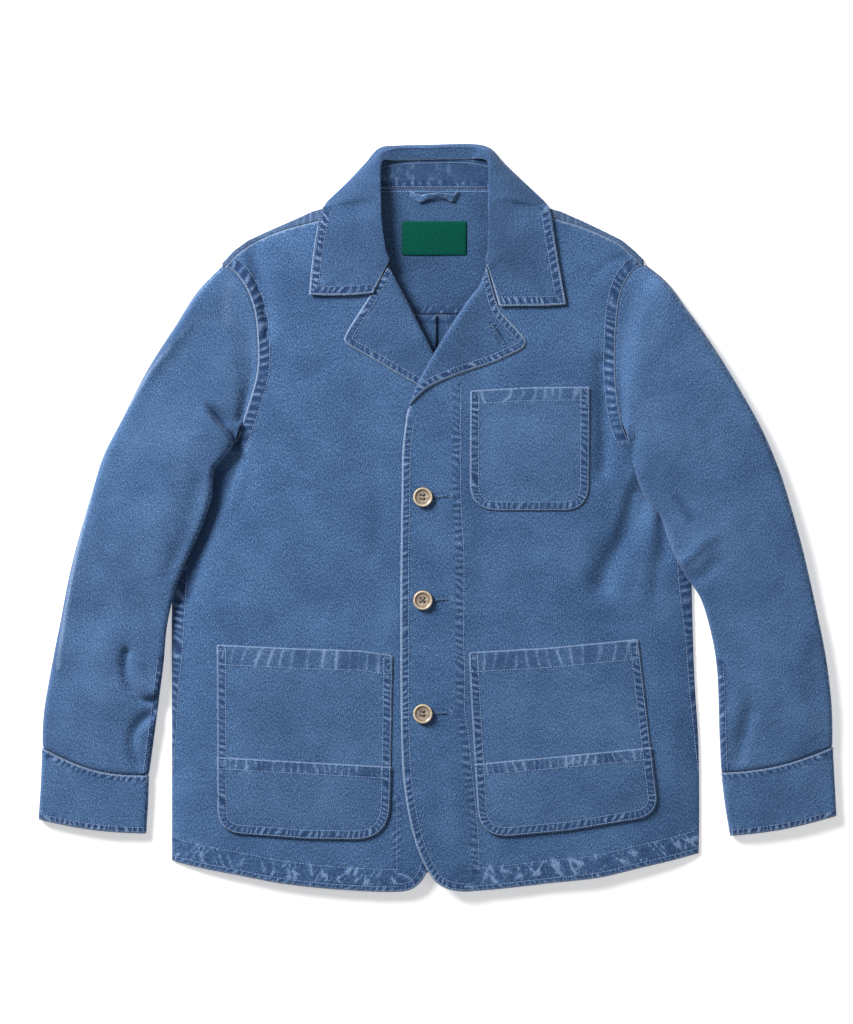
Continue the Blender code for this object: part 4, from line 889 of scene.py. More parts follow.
# sleeves: outer x, y, inner x, y, height, and the armhole's bow left in each wall
sleeves = {
    "right": [
        (-228, 268, -214, 83, 3.2, 1.0, 1.0), (-256, 236, -219, 73, 12.0, 0.72, 0.86),
        (-284, 196, -227, 63, 14.5, 0.46, 0.66), (-310, 154, -236, 52, 15.5, 0.26, 0.44),
        (-334, 106, -238, 38, 15.5, 0.12, 0.26), (-354, 66, -239, 22, 15.0, 0.0, 0.12),
        (-366, 28, -244, 6, 15.0), (-378, -12, -252, -15, 15.0),
        (-387, -46, -262, -37, 14.0), (-394, -78, -273, -62, 13.0),
        (-400, -110, -281, -88, 12.0), (-406, -140, -287, -118, 12.5),
        (-412, -172, -290, -152, 11.5), (-417, -202, -294, -184, 12.0),
        (-419, -226, -299, -222, 11.0), (-419, -243, -306, -272.5, 10.0)],
    "left": [
        (221, 269, 204, 83, 3.2, 1.0, 1.0), (245, 246, 205, 72, 12.0, 0.72, 0.86),
        (271, 214, 207, 60, 14.5, 0.46, 0.66), (297, 176, 210, 46, 15.5, 0.26, 0.44),
        (321, 136, 216, 30, 15.5, 0.12, 0.26), (343, 96, 224, 16, 15.0, 0.0, 0.12),
        (362, 52, 236, 2, 15.0), (376, 8, 243, -18, 15.0),
        (387, -32, 250, -38, 14.5), (396, -70, 262, -60, 13.5),
        (403, -102, 279, -86, 12.5), (410, -136, 290, -122, 12.5),
        (415, -168, 296, -156, 12.0), (418, -198, 298, -190, 12.0),
        (419, -222, 299, -226, 11.0), (419, -242, 301, -269.5, 10.0)],
    # creases that only the cloth has, in rows as those of the fronts
    "rightFolds": [
        (12, 4.4, [(-254, 119), (-240, 106), (-228, 93), (-217, 81)], (0.5, 0), 0.2),
        (4.5, -7.0, [(-247, 124), (-236, 111), (-224, 97), (-213, 84)], (0.5, 0), 1.4),
        (5, 1.3, [(-247, 222), (-281, 182), (-304, 155), (-336, 100)], (0.3, 0.2)),
        (4, 0.9, [(-366, 28), (-380, -30), (-392, -90), (-402, -160)]),
        (11, 2.1, [(-262, 236), (-282, 190), (-300, 158)]),
        (10, 1.3, [(-360, 20), (-382, -70), (-402, -180)]),
        (20, -1.0, [(-212, 236), (-238, 190), (-262, 130)]),
        (24, 1.2, [(-280, 60), (-296, 0), (-292, -60)]),
        (9, -2.0, [(-252, 40), (-262, 0), (-284, -60)]),
        (5, -5.0, [(-328, -140), (-330, -162), (-323, -182), (-311, -194), (-299, -192)],
         (0, 0), 0.7),
        (8, 2.2, [(-316, -150), (-310, -178), (-298, -184)]),
        (7, -4.2, [(-291, -200), (-306, -210), (-320, -226), (-322, -244), (-314, -262)],
         (0, 0), 0.6),
        (16, 1.2, [(-345, -120), (-352, -160), (-340, -200)]),
        (14, 1.0, [(-400, -150), (-385, -190), (-390, -235)]),
        (12, -0.9, [(-300, -90), (-330, -110), (-360, -105)])],
    "leftFolds": [
        (10, -2.9, [(208, 84), (206, 60), (202, 46)]),
        (12, 1.3, [(232, 258), (300, 160), (352, 60)]),
        (12, -1.7, [(214, 40), (240, 6), (262, -40)]),
        (10, -1.2, [(228, 96), (252, 70), (300, 50)]),
        (22, 1.0, [(280, 120), (316, 60), (338, 0)]),
        (7, 2.4, [(254, -52), (270, -36), (288, -20), (310, -10)], (0, 0.6)),
        (8, -2.6, [(262, -66), (280, -62), (296, -48), (318, -40)], (0, 0.6)),
        (10, -2.5, [(333, -203), (326, -230), (318, -258)], (0, 0), 0.6),
        (13, 1.2, [(392, -120), (380, -180), (396, -235)]),
        (18, 1.0, [(352, -110), (346, -160), (360, -215)]),
        (9, 1.0, [(306, -150), (318, -190), (310, -226)])],
    # pale lines along the pressed creases, worn and with a painted highlight, and faint painted
    # light below the shoulder; then painted shade on the turned-under strip outside the crease and
    # in the underarm crease
    "rightCrease": [
        (1.3, 0.42, [(-247, 222), (-281, 182), (-304, 155), (-336, 100)], (0.6, 0.2)),
        (4, 0.12, [(-216, 255), (-224, 230), (-222, 205)]),
        (1.6, 0.45, [(-366, 28), (-380, -30), (-392, -90), (-402, -160)])],
    "rightPaintedShade": [
        (5, -0.45, [(-253, 230), (-285, 186), (-308, 158), (-338, 104)], (0.2, 0.2)),
        (1.7, -0.85, [(-246, 122), (-236, 111), (-225, 98), (-215, 83)], (0.3, 0)),
        (9, -0.28, [(-240, 124), (-230, 113), (-219, 100), (-210, 88)], (0.4, 0)),
        (3, -0.4, [(-370, 28), (-384, -30), (-396, -90), (-406, -160)])],
    "leftCrease": [(1.6, 0.15, [(262, 222), (300, 164)])],
    "leftPaintedShade": [(5, -0.5, [(268, -4), (258, 14), (250, 26)])],
    "crown": 2.4, "seamRamp": 26.0, "restStart": 6.0, "restRamp": 22.0, "clear": 1.2,
    "edgeClear": 2.2, "edgeReach": 15.0, "backClear": 0.6, "thinnest": 6.5, "settle": 0.85,
    "toPit": 0.75,
    # how far the cloth stands out below the shoulder's end, down to which row, and which way
    "shoulder": 2.2, "shoulderRow": 1.7, "shoulderWay": (0.72, 0.69),
    # the end's last rows, which go in under the cuff: how much further down and how far in, with
    # that of the two rows before them, and how much the upper and the lower wall draw in
    "endRows": (0.7, 1.4, 2.4, 3.4, 4.4), "endIn": (0.15, 0.4, 0.8, 1, 1, 1, 1),
    "endSink": (3.4, -1.4),
}
cuffs = {
    "right": [(-419.5, -243.8, -306, -273.3, 10.0), (-421, -282, -307, -303, 9.6),
              (-423.5, -319.5, -309, -334.5, 9.0)],
    "left": [(419.5, -242.8, 301, -270.3, 10.0), (421.5, -280, 305, -304, 9.6),
             (423.5, -315.5, 310.5, -337, 9.0)],
    # how far the seam and the hem bow down in the middle
    "crown": 1.2, "seamBow": {"right": 9.0, "left": 6.5}, "bow": 3.5,
}


def restHeight(x, y, side):
    # what a sleeve's underside lies on: the body's side, the back's armhole, or the surface
    inward = side["inward"]
    outside = (readLine(side["side"], y, 1) - x) * inward
    past = (readLine(side["backArmhole"], y, 1) - x) * inward
    ramp = sleeves["seamRamp"]
    below = ease((readLine(side["underarm"], x) + ramp - y) / ramp * 2)
    overEdge = np.exp(np.minimum(outside, 0) / sleeves["edgeReach"])
    lift = sleeves["clear"] + sleeves["edgeClear"] * overEdge
    rest, onSurface = (1 - ease((off - sleeves["restStart"]) / sleeves["restRamp"])
                       for off in (outside, past))
    onBody = np.where(outside < 0, drape(x, y) + wall + lift, rest * (layer + wall + lift))
    return np.maximum(below * onBody, (wall + sleeves["backClear"]) * onSurface)


def makeTube(name, table, side, crown, bow, folds, rings, isSleeve, bands, underBands, seed,
             creases=((), ())):
    # two flattened walls joined at their edges; a sleeve's first row lies on the armhole's seam
    at = np.linspace(0, len(table) - 1, rings)
    rows = through([(*row, 0, 0)[:7] for row in table], at)
    tuck = np.zeros(rings)
    if isSleeve:
        # the sleeve's end goes in under the cuff
        on = np.array(sleeves["endRows"])
        extra = np.repeat(rows[-1:], len(on), axis=0)
        extra[:, (1, 3)] -= on[:, None]
        rows, at = np.concatenate([rows, extra]), np.concatenate([at, np.full(len(on), at[-1])])
        tuck = np.concatenate([tuck[:-2], sleeves["endIn"]])
        rings += len(on)
    outer, inner, height = rows[:, 0:2], rows[:, 2:4], rows[:, 4]
    width = np.linalg.norm(inner - outer, axis=1)
    ends = (np.minimum(height / 2, width / 4) / width)[:, None]
    turn = np.radians(np.linspace(0, 90, 6))
    t = np.linspace(0, 1, 41 if isSleeve else 85)[1:-1]
    u = np.concatenate([ends * (1 - np.cos(turn)), ends + (1 - 2 * ends) * t,
                        1 - ends * (1 - np.cos(turn[::-1]))], axis=1)
    share = np.concatenate([np.sin(turn), np.ones(len(t)), np.sin(turn[::-1])])[None, :]
    share = np.repeat(share, rings, axis=0)
    start, stop = rows[0, 0:2], rows[0, 2:4]
    armhole = flow(side["armhole"])
    hollow, pit = flow(side["backArmhole"]), np.array(side["underarm"][::-1], float)
    firstEnds = ends[0] + sleeves["toPit"] * (1 - 2 * ends[0])
    mid = (outer + inner) / 2
    walls, wearAndShadeRows, maps = [], [], []
    for upper in (True, False):
        plan = outer[:, None] + (inner - outer)[:, None] * u[:, :, None]
        if isSleeve:
            if upper:
                seam = alongLine(armhole, u)
            else:
                seam = np.where((u <= firstEnds)[:, :, None],
                                alongLine(hollow, np.minimum(u / firstEnds, 1)),
                                alongLine(pit, np.clip((u - firstEnds) / (1 - firstEnds), 0, 1)))
            left = rows[:, 5 if upper else 6][:, None, None]
            plan = plan + (seam - start - (stop - start) * u[:, :, None]) * left
            # the cloth stands out a little below the shoulder's end
            below = np.sin(math.pi * np.clip(at / sleeves["shoulderRow"], 0, 1))[:, None]
            out = sleeves["shoulder"] * below * (1 - u)**4
            outX, outY = sleeves["shoulderWay"]
            plan = plan + out[:, :, None] * np.array((-side["inward"] * outX, outY))
            bowed = bow[1] * ease((at - len(table) + 4) / 3)
        else:
            bowed = bow[0] + (bow[1] - bow[0]) * at / at[-1]
        plan[:, :, 1] -= bowed[:, None] * np.sin(math.pi * u)
        x, y = plan.reshape(-1, 2).T
        base = (restHeight(x, y, side) if isSleeve else np.zeros(len(x))).reshape(u.shape)
        thick = height[:, None] + crown * np.sin(math.pi * u) - sleeves["settle"] * base
        thick = np.maximum(thick, sleeves["thinnest"])
        if isSleeve:
            # the sleeve starts at the armhole's seam and swells from there
            front = (lap if side["inward"] < 0 else drape)(x, y).reshape(u.shape) + wall
            atSeam = np.maximum(front - 0.7 - base, 2 * wall + 0.3)
            near = np.clip(1 - at, 0, 1)[:, None]**1.4
            thick = thick * (1 - near) + atSeam * near
        z = base + thick / 2 + (1 if upper else -1) * thick / 2 * share
        towards = mid[:, None] - plan
        towards /= np.maximum(np.linalg.norm(towards, axis=2), 20)[:, :, None]
        plan = plan + towards * tuck[:, None, None] * 1.5
        x, y = plan.reshape(-1, 2).T
        z = z - tuck[:, None] * sleeves["endSink"][0 if upper else 1]
        ridge, lift, groove, inBand = seamField(bands if upper else underBands, x, y)
        if upper:
            calm = (share * np.clip(at[:, None] * 1.2, 0, 1) if isSleeve else share).ravel()
            extra = foldField(folds, x, y)
            extra += (softNoise(x / 38 + 9, y / 52, seed) - 0.5) * (1.6 if isSleeve else 0.6)
            extra += (softNoise(x / 15, y / 19 + 4, seed + 3) - 0.5) * 0.5
            deepest = (thick - 2 * wall - 0.5).ravel()
            z = z.ravel() + np.maximum(extra, -deepest) * calm
            z = (z + (lift + 0.3 * ridge - 0.35 * groove) * share.ravel()).reshape(u.shape)
        walls.append(np.dstack([plan, z]))
        edge = 0.22 * (1 - share)**2
        if not isSleeve:
            edge[:2] = [[0.6], [0.05]]
            edge[-2:] = [[0.25], [0.7]]
        # painted shade over the seam bands and, in x, in the stitches' grooves; on the upper wall
        # the first crease list paints highlights along pressed creases and the second paints shade
        edge, shaded = edge.ravel(), -bandDark * inBand
        if upper:
            edge = edge + foldField(creases[0], x, y, 0.0)
            shaded = shaded + foldField(creases[1], x, y, 0.0)
        wearAndPaintedShade = np.stack([ridge - grooveDark * groove, edge, shaded], axis=1)
        wearAndShadeRows.append(wearAndPaintedShade.reshape(*u.shape, 3))
        # the weave runs down the sleeve, and on round its edges
        lean = 0.3 * side["inward"]
        maps.append(np.dstack([plan[:, :, 0] - lean * plan[:, :, 1] + 0.8 * z,
                               plan[:, :, 1] + lean * plan[:, :, 0] + 0.3 * z]))
    # round the upper wall and back along the lower one, whose ends are the upper one's
    points, wearAndPaintedShade = (np.concatenate([pair[0], pair[1][:, ::-1][:, 1:-1]], axis=1)
                    for pair in (walls, wearAndShadeRows))
    flat = np.concatenate([maps[0], maps[1][:, ::-1][:, 1:]], axis=1) + (seed * 50, seed * 31)
    return gridCloth(name, points, wearAndPaintedShade, flat, closedRows=True, flip=side["inward"] > 0,
                     offset=-1.0), walls


def stitchOn(surface, seam, lift=0.5):
    # rows of stitches on a grid of points: from the grid's nearest points in plan
    grid = surface.reshape(-1, 3)
    for line in rowLines(seam):
        z = []
        for x, y in line:
            away = (grid[:, 0] - x)**2 + (grid[:, 1] - y)**2
            i = np.argpartition(away, 4)[:4]
            weights = away[i] + 0.05
            z.append(np.sum(grid[i, 2] / weights) / np.sum(1 / weights) if away[i].min() < 16
                     else np.nan)
        line = np.column_stack([line, np.array(z) + lift])
        line = line[~np.isnan(line[:, 2])]
        if len(line) > 2:
            stitchLines.append(line)


def bowedRow(row, bow):
    # the line across a tube at one row of its table, bowed down in the middle
    x0, y0, x1, y1 = row[:4]
    return [(x0 + (x1 - x0) * t, y0 + (y1 - y0) * t - bow * math.sin(math.pi * t))
            for t in np.linspace(0, 1, 40)]


tubes = []
for side in (right, left):
    key, sign = side["name"], side["inward"]
    table, cuffTable, seamBow = sleeves[key], cuffs[key], cuffs["seamBow"][key]
    joinTop = band(bowedRow(cuffTable[0], seamBow), 0.0, 6.5, (1.6,), period=6.8, signed=-sign,
                   lift=0.15, seed=31, shade=0.08, strength=1.2)
    hemBand = band(bowedRow(cuffTable[-1], cuffs["bow"]), 0.0, 7.0, (6.2,), period=6.2, signed=sign,
                   lift=0.3, seed=32, strength=1.2)
    underarm = band(flow([row[2:4] for row in table[12:]]), 0.0, 7.0, (6.2,), period=7.0,
                    signed=-sign, lift=0.2, seed=33)
    sleeve, (top, _) = makeTube(
        "sleeve" + key.capitalize(), table, side, sleeves["crown"], (0, seamBow),
        sleeves[key + "Folds"], 230, True, [underarm], [underarm], 3 if sign > 0 else 6,
        (sleeves[key + "Crease"], sleeves[key + "PaintedShade"]))
    cuff, topCuff = makeTube(
        "cuff" + key.capitalize(), cuffTable, side, cuffs["crown"], (seamBow, cuffs["bow"]), (), 44,
        False, [joinTop, hemBand], [hemBand], 4 if sign > 0 else 7)
    for surface, seam, lift in ((topCuff[0], joinTop, 0.35), (topCuff[0], hemBand, 0.35),
                                (topCuff[1], hemBand, 0.25), (top, underarm, 0.35)):
        stitchOn(surface, seam, lift)
    tubes += [sleeve, cuff]
sleeveRight, cuffRight, sleeveLeft, cuffLeft = tubes
print("sleeves and cuffs made")

# the back: a panel with a box pleat below a yoke that turns over the shoulders
back = {"pleatX": 4.0, "half": 17.0, "meet": 6.5, "ease": 24.0, "atHem": 0.65, "length": 500.0,
        "yokeSeam": 216.0, "yokeTurn": 88.0, "neckY": 349.2, "inset": 1.0}


def foldArc(x, z, turn, steps=8):
    angle = np.linspace(-math.pi / 2, math.pi / 2, steps + 1)
    r = layer / 2
    return [(x + turn * r * math.cos(a), z + r * (1 + math.sin(a))) for a in angle]


levels = np.concatenate([np.linspace(-393, -376, 9)[:-1], np.linspace(-376, 205, 110),
                         np.linspace(205, back["yokeSeam"] - 0.3, 5)[1:]])
yokeSeamLine = flow([(-206, back["yokeSeam"]), (203, back["yokeSeam"])])
backBands = [band(flow(backHem), 0, 25, (5.5, 24), "hem", 13, seed=41),
             band(yokeSeamLine, 0, 9, (1.6, 8), seed=42)]


def backRow(index, level):
    # one row across the back at its height, with the pleat's folds in the middle
    edges = []
    for side in (right, left):
        line = side["backArmhole"] if level > 67 else side["side"]
        inset = back["inset"] if level >= 66 else 0.3
        edges.append(readLine(line, level, 1) + side["inward"] * inset)
    opened = ease((level + 393) / back["length"])
    half = back["half"] * (back["atHem"] + (1 - back["atHem"]) * opened)
    px = back["pleatX"]
    folds = [(px - half + (half - back["meet"]) * t, wall / 2 + 2 * layer)
             for t in (0, 0.3, 0.6, 0.9)]
    folds += foldArc(px - back["meet"], wall / 2 + layer, 1)[::-1]
    folds += foldArc(px - half, wall / 2, -1)[::-1]
    near, far = px - half - back["ease"], px + half + back["ease"]
    path = [(edges[0] + (near - edges[0]) * t, wall / 2) for t in np.linspace(0, 1, 48)]
    path += folds + [(2 * px - x, z) for x, z in folds[::-1]]
    path += [(far + (edges[1] - far) * t, wall / 2) for t in np.linspace(0, 1, 48)]
    x, z = np.array(path).T
    y = np.maximum(level, readLine(backHem, x) + 1.9 * index)
    ridge, _, groove, inBand = seamField(backBands, x, y)
    raised = np.where(np.abs(x - px) > half + 3, np.minimum(0.25 * np.abs(ridge), 0.25), 0)
    # shade painted into the stitches' grooves and over the seam bands
    return (np.column_stack([x, y, z + raised]),
            np.column_stack([ridge - grooveDark * groove, np.zeros(len(x)), -bandDark * inBand]),
            np.column_stack([lengthAlong(path) + x[0], y]))


backPanel = gridCloth("backPanel", *zip(*(backRow(*row) for row in enumerate(levels))))

yokeX = np.concatenate([np.linspace(-228.4, -88.01, 52), np.linspace(-87.9, 87.9, 60),
                        np.linspace(88.01, 219, 48)])
yokeBand = [band(yokeSeamLine, 0, 9, (1.6, 8), seed=43)]


def yokeRow(x):
    # one row from the yoke's seam up, and over the shoulder down to the front's seam
    side = right if x < 0 else left
    inward = side["inward"]
    hole = [row for row in side["backArmhole"] if row[1] > 202]
    bottom = back["yokeSeam"]
    if abs(x) > abs(readLine(hole, back["yokeSeam"], 1)) - back["inset"]:
        bottom = max(bottom, readLine(hole, x - inward * back["inset"]))
    turned = abs(x) >= back["yokeTurn"]
    r = layer / 2
    topY = readLine(side["fold"], x) - r - wall / 2 if turned else back["neckY"]
    ys = bottom + (topY - bottom) * np.linspace(0, 1, 40)
    row = [(x, y, neckLift(x, y) + wall / 2) for y in ys]
    if turned:
        lift = neckLift(x, topY) + wall / 2
        row += [(x, y, z) for y, z in foldArc(topY, lift, 1)[1:]]
        end = min(topY - 0.3, readLine(side["seam"], x) + 0.15)
        ys = topY + (end - topY) * np.linspace(0, 1, 6)[1:]
        zs = drape(np.full(5, x), ys) + wall / 2
        zs = row[-1][2] + (zs[-1] - row[-1][2]) * np.linspace(0, 1, 6)[1:]
        row += [(x, y, z) for y, z in zip(ys, zs)]
    row = np.array([(one(a), one(b), one(c)) for a, b, c in row])
    ridge, _, groove, inBand = seamField(yokeBand, row[:, 0], row[:, 1])
    front = np.arange(len(row)) > 42
    nearNeck = one(ease((170 - abs(x)) / 30))
    pleats = np.cos(x * 0.85 + 3 * softNoise(x / 9, 0, 2)) * 0.6 * nearNeck
    # the part turned over the shoulders: pale and dark stripes and painted shade near the neck, and
    # a little paler all over with the worn edge's colour; the rest: shade painted into the seam's
    # stitch grooves and over its band
    wornAndShaded = np.where(front, pleats, ridge - grooveDark * groove)
    deep = np.where(front, -0.3 * nearNeck, -bandDark * inBand)
    return (row, np.column_stack([wornAndShaded, 0.12 * front, deep]),
            np.column_stack([row[:, 0], row[0, 1] + lengthAlong(row)]) + (300, 0))


backYoke = gridCloth("backYoke", *zip(*(yokeRow(x) for x in yokeX)))
print("back made")

# collar: the stand from one gorge round the neck to the other, and the fall turned over it
collar = {
    # base x, y, top x, y, z; a base height of none lies on the front
    "stand": [(-55.5, 272, None, -53.0, 273, 12.4), (-68, 285, None, -57.5, 286, 13.2),
              (-83, 304, None, -60.5, 312, 14.2), (-97, 324, None, -62.0, 340, 14.0),
              (-94, 343, 5.6, -62.0, 366, 11.5), (-77, 349.5, 3.4, -58.5, 382, 8.4),
              (-55, 349.5, 2.2, -49.0, 387.5, 5.8), (-28, 349.5, 2.2, -28.0, 390.5, 5.4),
              (-2, 349.5, 2.2, -2.0, 391, 5.2), (26, 349.5, 2.2, 26.0, 391.5, 5.4),
              (50, 349.5, 2.2, 43.0, 388.5, 5.8), (73, 349.5, 3.4, 52.5, 382, 8.4),
              (92, 343, 5.6, 56.0, 366, 11.5), (96, 325.5, None, 56.0, 340, 14.0),
              (81, 306, None, 56.0, 312, 14.2), (67, 288, None, 54.5, 286, 13.2),
              (55.5, 272, None, 53.0, 273, 12.4)],
    # roll x, y, z, then edge x, y: the leaves on the fronts
    "leafRight": [(-51.5, 271.5, 13.9, -68.5, 238), (-53, 275, 14.3, -92, 236),
                  (-55.5, 281, 14.6, -116, 235.5), (-57.5, 289, 14.9, -136, 236.5),
                  (-60, 305, 15.4, -133, 268), (-61.5, 320, 15.7, -128, 302),
                  (-62, 333, 15.7, -122.5, 326)],
    "leafLeft": [(51.5, 271.5, 13.9, 65.5, 224), (53, 275, 14.3, 90, 224.5),
                 (54, 281, 14.6, 114, 224.5), (55, 289, 14.9, 136, 226),
                 (56, 305, 15.4, 129, 265), (56, 320, 15.7, 123, 301), (56, 333, 15.7, 119.5, 326)],
    # roll x, y, z, turn x, y and radius, edge x, y: over the shoulders and under the yoke
    "wrap": [(-62, 341, 15.6, -117.5, 334.5, 2.4, -118.5, 331),
             (-62, 350, 15.0, -108, 344, 2.6, -111, 327),
             (-62, 364, 13.4, -92, 359.5, 2.9, -93, 320),
             (-61.5, 378, 11.6, -76, 376.5, 3.2, -76, 316),
             (-56, 386.5, 9.8, -62, 391.5, 3.6, -57, 314),
             (-40, 391, 7.6, -40.5, 394.2, 3.2, -38, 313), (-2, 392, 6.9, -2, 395, 3.0, -1, 312),
             (34, 392.5, 7.2, 34.5, 395.8, 3.1, 34, 313),
             (49.5, 387.5, 9.8, 56, 391.5, 3.6, 52, 314), (56, 378, 11.6, 70, 376.5, 3.2, 71, 316),
             (56, 364, 13.4, 88, 359.5, 2.9, 89, 320), (56, 350, 15.0, 104.5, 344, 2.6, 107.5, 327),
             (56, 341, 15.6, 114.5, 334, 2.4, 115.5, 331)],
    "shares": [(0, 0), (0.1, 0.35), (0.22, 0.7), (0.36, 0.93), (0.52, 0.95), (0.68, 0.97),
               (0.84, 0.985), (1, 1)],
    "clear": 0.5, "crest": 1.0, "lip": 1.6, "overStand": 10.5,
}


def leafRow(rx, ry, rz, ex, ey, shift):
    under = lap if rx > 0 else drape
    row = []
    away = np.array((rx - ex, ry - ey)) / math.hypot(rx - ex, ry - ey) * collar["lip"]
    for onLeaf, atTurn in collar["shares"]:
        t = onLeaf + (atTurn - onLeaf) * shift
        x, y = rx + (ex - rx) * t, ry + (ey - ry) * t
        lying = one(under(x, y)) + 2 * layer + collar["clear"] + wall / 2
        crest = collar["crest"] * math.exp(-(t / 0.1 - 1)**2)
        row.append((x, y, lying + max(0.0, rz + 0.3 - lying) * (1 - t)**2 + crest))
    return [(rx + away[0], ry + away[1], row[0][2] - 0.7)] + row


def wrapRow(rx, ry, rz, tx, ty, radius, ex, ey):
    roll, turn, edge = np.array([(rx, ry), (tx, ty), (ex, ey)], float)
    out = (turn - roll) / np.linalg.norm(turn - roll)
    low, lip = wall / 2, turn - out * radius
    top = low + 2 * radius
    # at the back the cloth comes down over the stand, to its seam
    down = collar["lip"] + collar["overStand"] * one(ease((ry - 374) / 14))
    row = [(*(roll - out * down), rz - 0.2 - 0.115 * down), (rx, ry, rz + 0.3)]
    for t in (0.35, 0.7):
        row.append((*(roll + (lip - roll) * t), rz + 0.7 + (top - rz) * t**1.5))
    row += [(*lip, top), (*turn, low + radius), (*lip, low)]
    row += [(*(lip + (edge - lip) * t), low) for t in (0.5, 1)]
    return row


shifts = [max(0, k - 2) / 4 for k in range(7)]
leaves = [[leafRow(*row, shift) for row, shift in zip(collar[leaf], shifts)]
          for leaf in ("leafRight", "leafLeft")]
control = np.array(leaves[0] + [wrapRow(*row) for row in collar["wrap"]] + leaves[1][::-1])
# each leaf's tip stays a corner, so the rows on either side of it are smoothed apart
parts = []
leafCount = 118
for first, last in ((0, 3), (3, len(control) - 4), (len(control) - 4, len(control) - 1)):
    piece, spans = control[first:last + 1], last - first
    at = np.linspace(0, 3, 44)
    if spans > 3:
        # closer rows where the leaves' stitched sides are
        at = np.concatenate([np.linspace(0, 3.4, 76)[:-1], np.linspace(3.4, spans - 3.4, 100)[:-1],
                             np.linspace(spans - 3.4, spans, 76)])
    flatRows = through(piece.reshape(len(piece), -1), at).reshape(len(at), 9, 3)
    parts.append(flatRows if first == 0 else flatRows[1:])
control = np.concatenate(parts)
across = np.linspace(0, 8, 57)
fall = np.stack([through(row, across) for row in control])
fall[:, :, 2] = np.maximum(fall[:, :, 2], wall / 2 + 0.1)
leafBands = [band(evenly([row[3:5] for row in collar[leaf]], 2.0), 0, 10, (1.7, 9.4), period=7.5,
                  signed=signed, seed=seed)
             for leaf, signed, seed in (("leafRight", -1, 51), ("leafLeft", 1, 52))]
fx, fy = fall[:, :, 0].ravel(), fall[:, :, 1].ravel()
onLeaf = np.zeros(fall.shape[:2])
onLeaf[:leafCount, 14:] = 1
onLeaf[-leafCount:, 14:] = 1
onLeaf = onLeaf.ravel()
ridge, lift, groove, inBand = [v * onLeaf for v in seamField(leafBands, fx, fy)]
fall[:, :, 2] += (lift + 0.3 * ridge - 0.4 * groove + (softNoise(fx / 21, fy / 24, 3) - 0.5) * 0.9
                  * onLeaf).reshape(fall.shape[:2])
edge = np.zeros(fall.shape[:2])
edge[:, (-1, -2, 0)] = 1, 0.35, 0.6
# the leaves' short sides, against the lapels
edge[(0, -1), 13:] = 0.9
edge[(1, -2), 13:] = 0.5
# shade painted into the stitches' grooves and over the leaves' seam bands
wearAndPaintedShade = np.stack([ridge - 0.7 * groove, edge.ravel(), -bandDark * inBand], axis=1)
run = np.stack([lengthAlong(row) for row in fall])
aroundNeck = lengthAlong(fall[:, 27])[:, None] + 0 * run
collarFall = gridCloth("collarFall", fall, wearAndPaintedShade.reshape(fall.shape),
                       np.dstack([aroundNeck, run]) + (700, 0))
stitchOn(fall[:leafCount, 13:], leafBands[0], wall / 2 + 0.1)
stitchOn(fall[-leafCount:, 13:], leafBands[1], wall / 2 + 0.1)

standRows = []
for bx, by, bz, tx, ty, tz in collar["stand"]:
    if bz is None:
        bz = one((lap if bx > 0 else drape)(bx, by)) + wall + 0.5 + wall / 2
    standRows.append([(bx + (tx - bx) * t, by + (ty - by) * t, bz + (tz - bz) * t) for t in (0, 1)])
standRows = through(np.array(standRows).reshape(-1, 6), np.linspace(0, 16, 200)).reshape(200, 2, 3)
foot, top = standRows[:, 0], standRows[:, 1]
up = np.linspace(0, 1, 26)
stand = foot[:, None] + (top - foot)[:, None] * up[:, None]
deepStand = np.linalg.norm(top - foot, axis=1)[:, None]
awayStand = deepStand * up
runStand = lengthAlong(top)[:, None] + 0 * awayStand
# its distances are known already, so these two bands need no line of their own
footSeam, _, inFoot = puckers(band([], 0, 9, (2.5,), period=9, seed=55), awayStand, runStand)
creased, _, _ = puckers(band([], 2, 31, (), "hem", period=5.5, seed=58), awayStand, runStand)
standStitches = np.maximum(np.exp(-((awayStand - 2.5) / 0.8)**2),
                           np.exp(-((deepStand - awayStand - 14.0) / 0.8)**2))
crossed = (softNoise(runStand / 9 + awayStand / 14, awayStand / 9, 6) - 0.5) * 1.2
stand[:, :, 2] += 0.3 * crossed + 0.2 * footSeam
# x: creases and the foot seam's puckers, with shade painted into the stitches' grooves; z: shade
# painted over the foot seam and, a little more, over the whole stand
standWearAndShade = np.stack([0.6 * footSeam - 0.6 * standStitches, 0 * footSeam, -0.2 * inFoot], axis=2)
standWearAndShade[:, :, 0] += 0.45 * crossed + 0.38 * np.maximum(creased, -0.3)
standWearAndShade[:, :, 2] -= 0.3
standWearAndShade[:, 0, 1] = 0.8
collarStand = gridCloth("collarStand", stand, standWearAndShade,
                        np.dstack([runStand, awayStand]) + (900, 0))
for share in (2.5 / deepStand, (deepStand - 14.0) / deepStand):
    stitchLines.append((foot + (top - foot) * share)[30:170] + (0, -0.35, 0.75))
stitchLines.append(np.array([(x, 346.6, float(neckLift(x, 346.6)) + wall + 0.15)
                             for x in np.linspace(-58, 54, 60)]))
print("collar made")

# the neck label: woven satin, bare, sewn down at its ends
label = {"corners": [(-38, 315, 1.2), (31, 315, 1.2), (31, 279, 1.2), (-38, 279, 1.2)],
         "clear": 0.3, "thick": 0.6}
labelEnds = [band(ends, 0, 2.4, (1.4,), period=3.2, signed=1, lift=0.05, depth=0.1, seed=seed)
             for ends, seed in (([(-38, 315), (-38, 279)], 61), ([(31, 279), (31, 315)], 62))]


def labelUnder(x, y):
    soft = (softNoise(x / 16, y / 22, 8) - 0.5) * 0.5
    middle = 0.5 * np.exp(-((x + 3.5) / 26)**2)
    return neckLift(x, y) + wall + label["clear"] + middle + np.maximum(soft, -0.1)


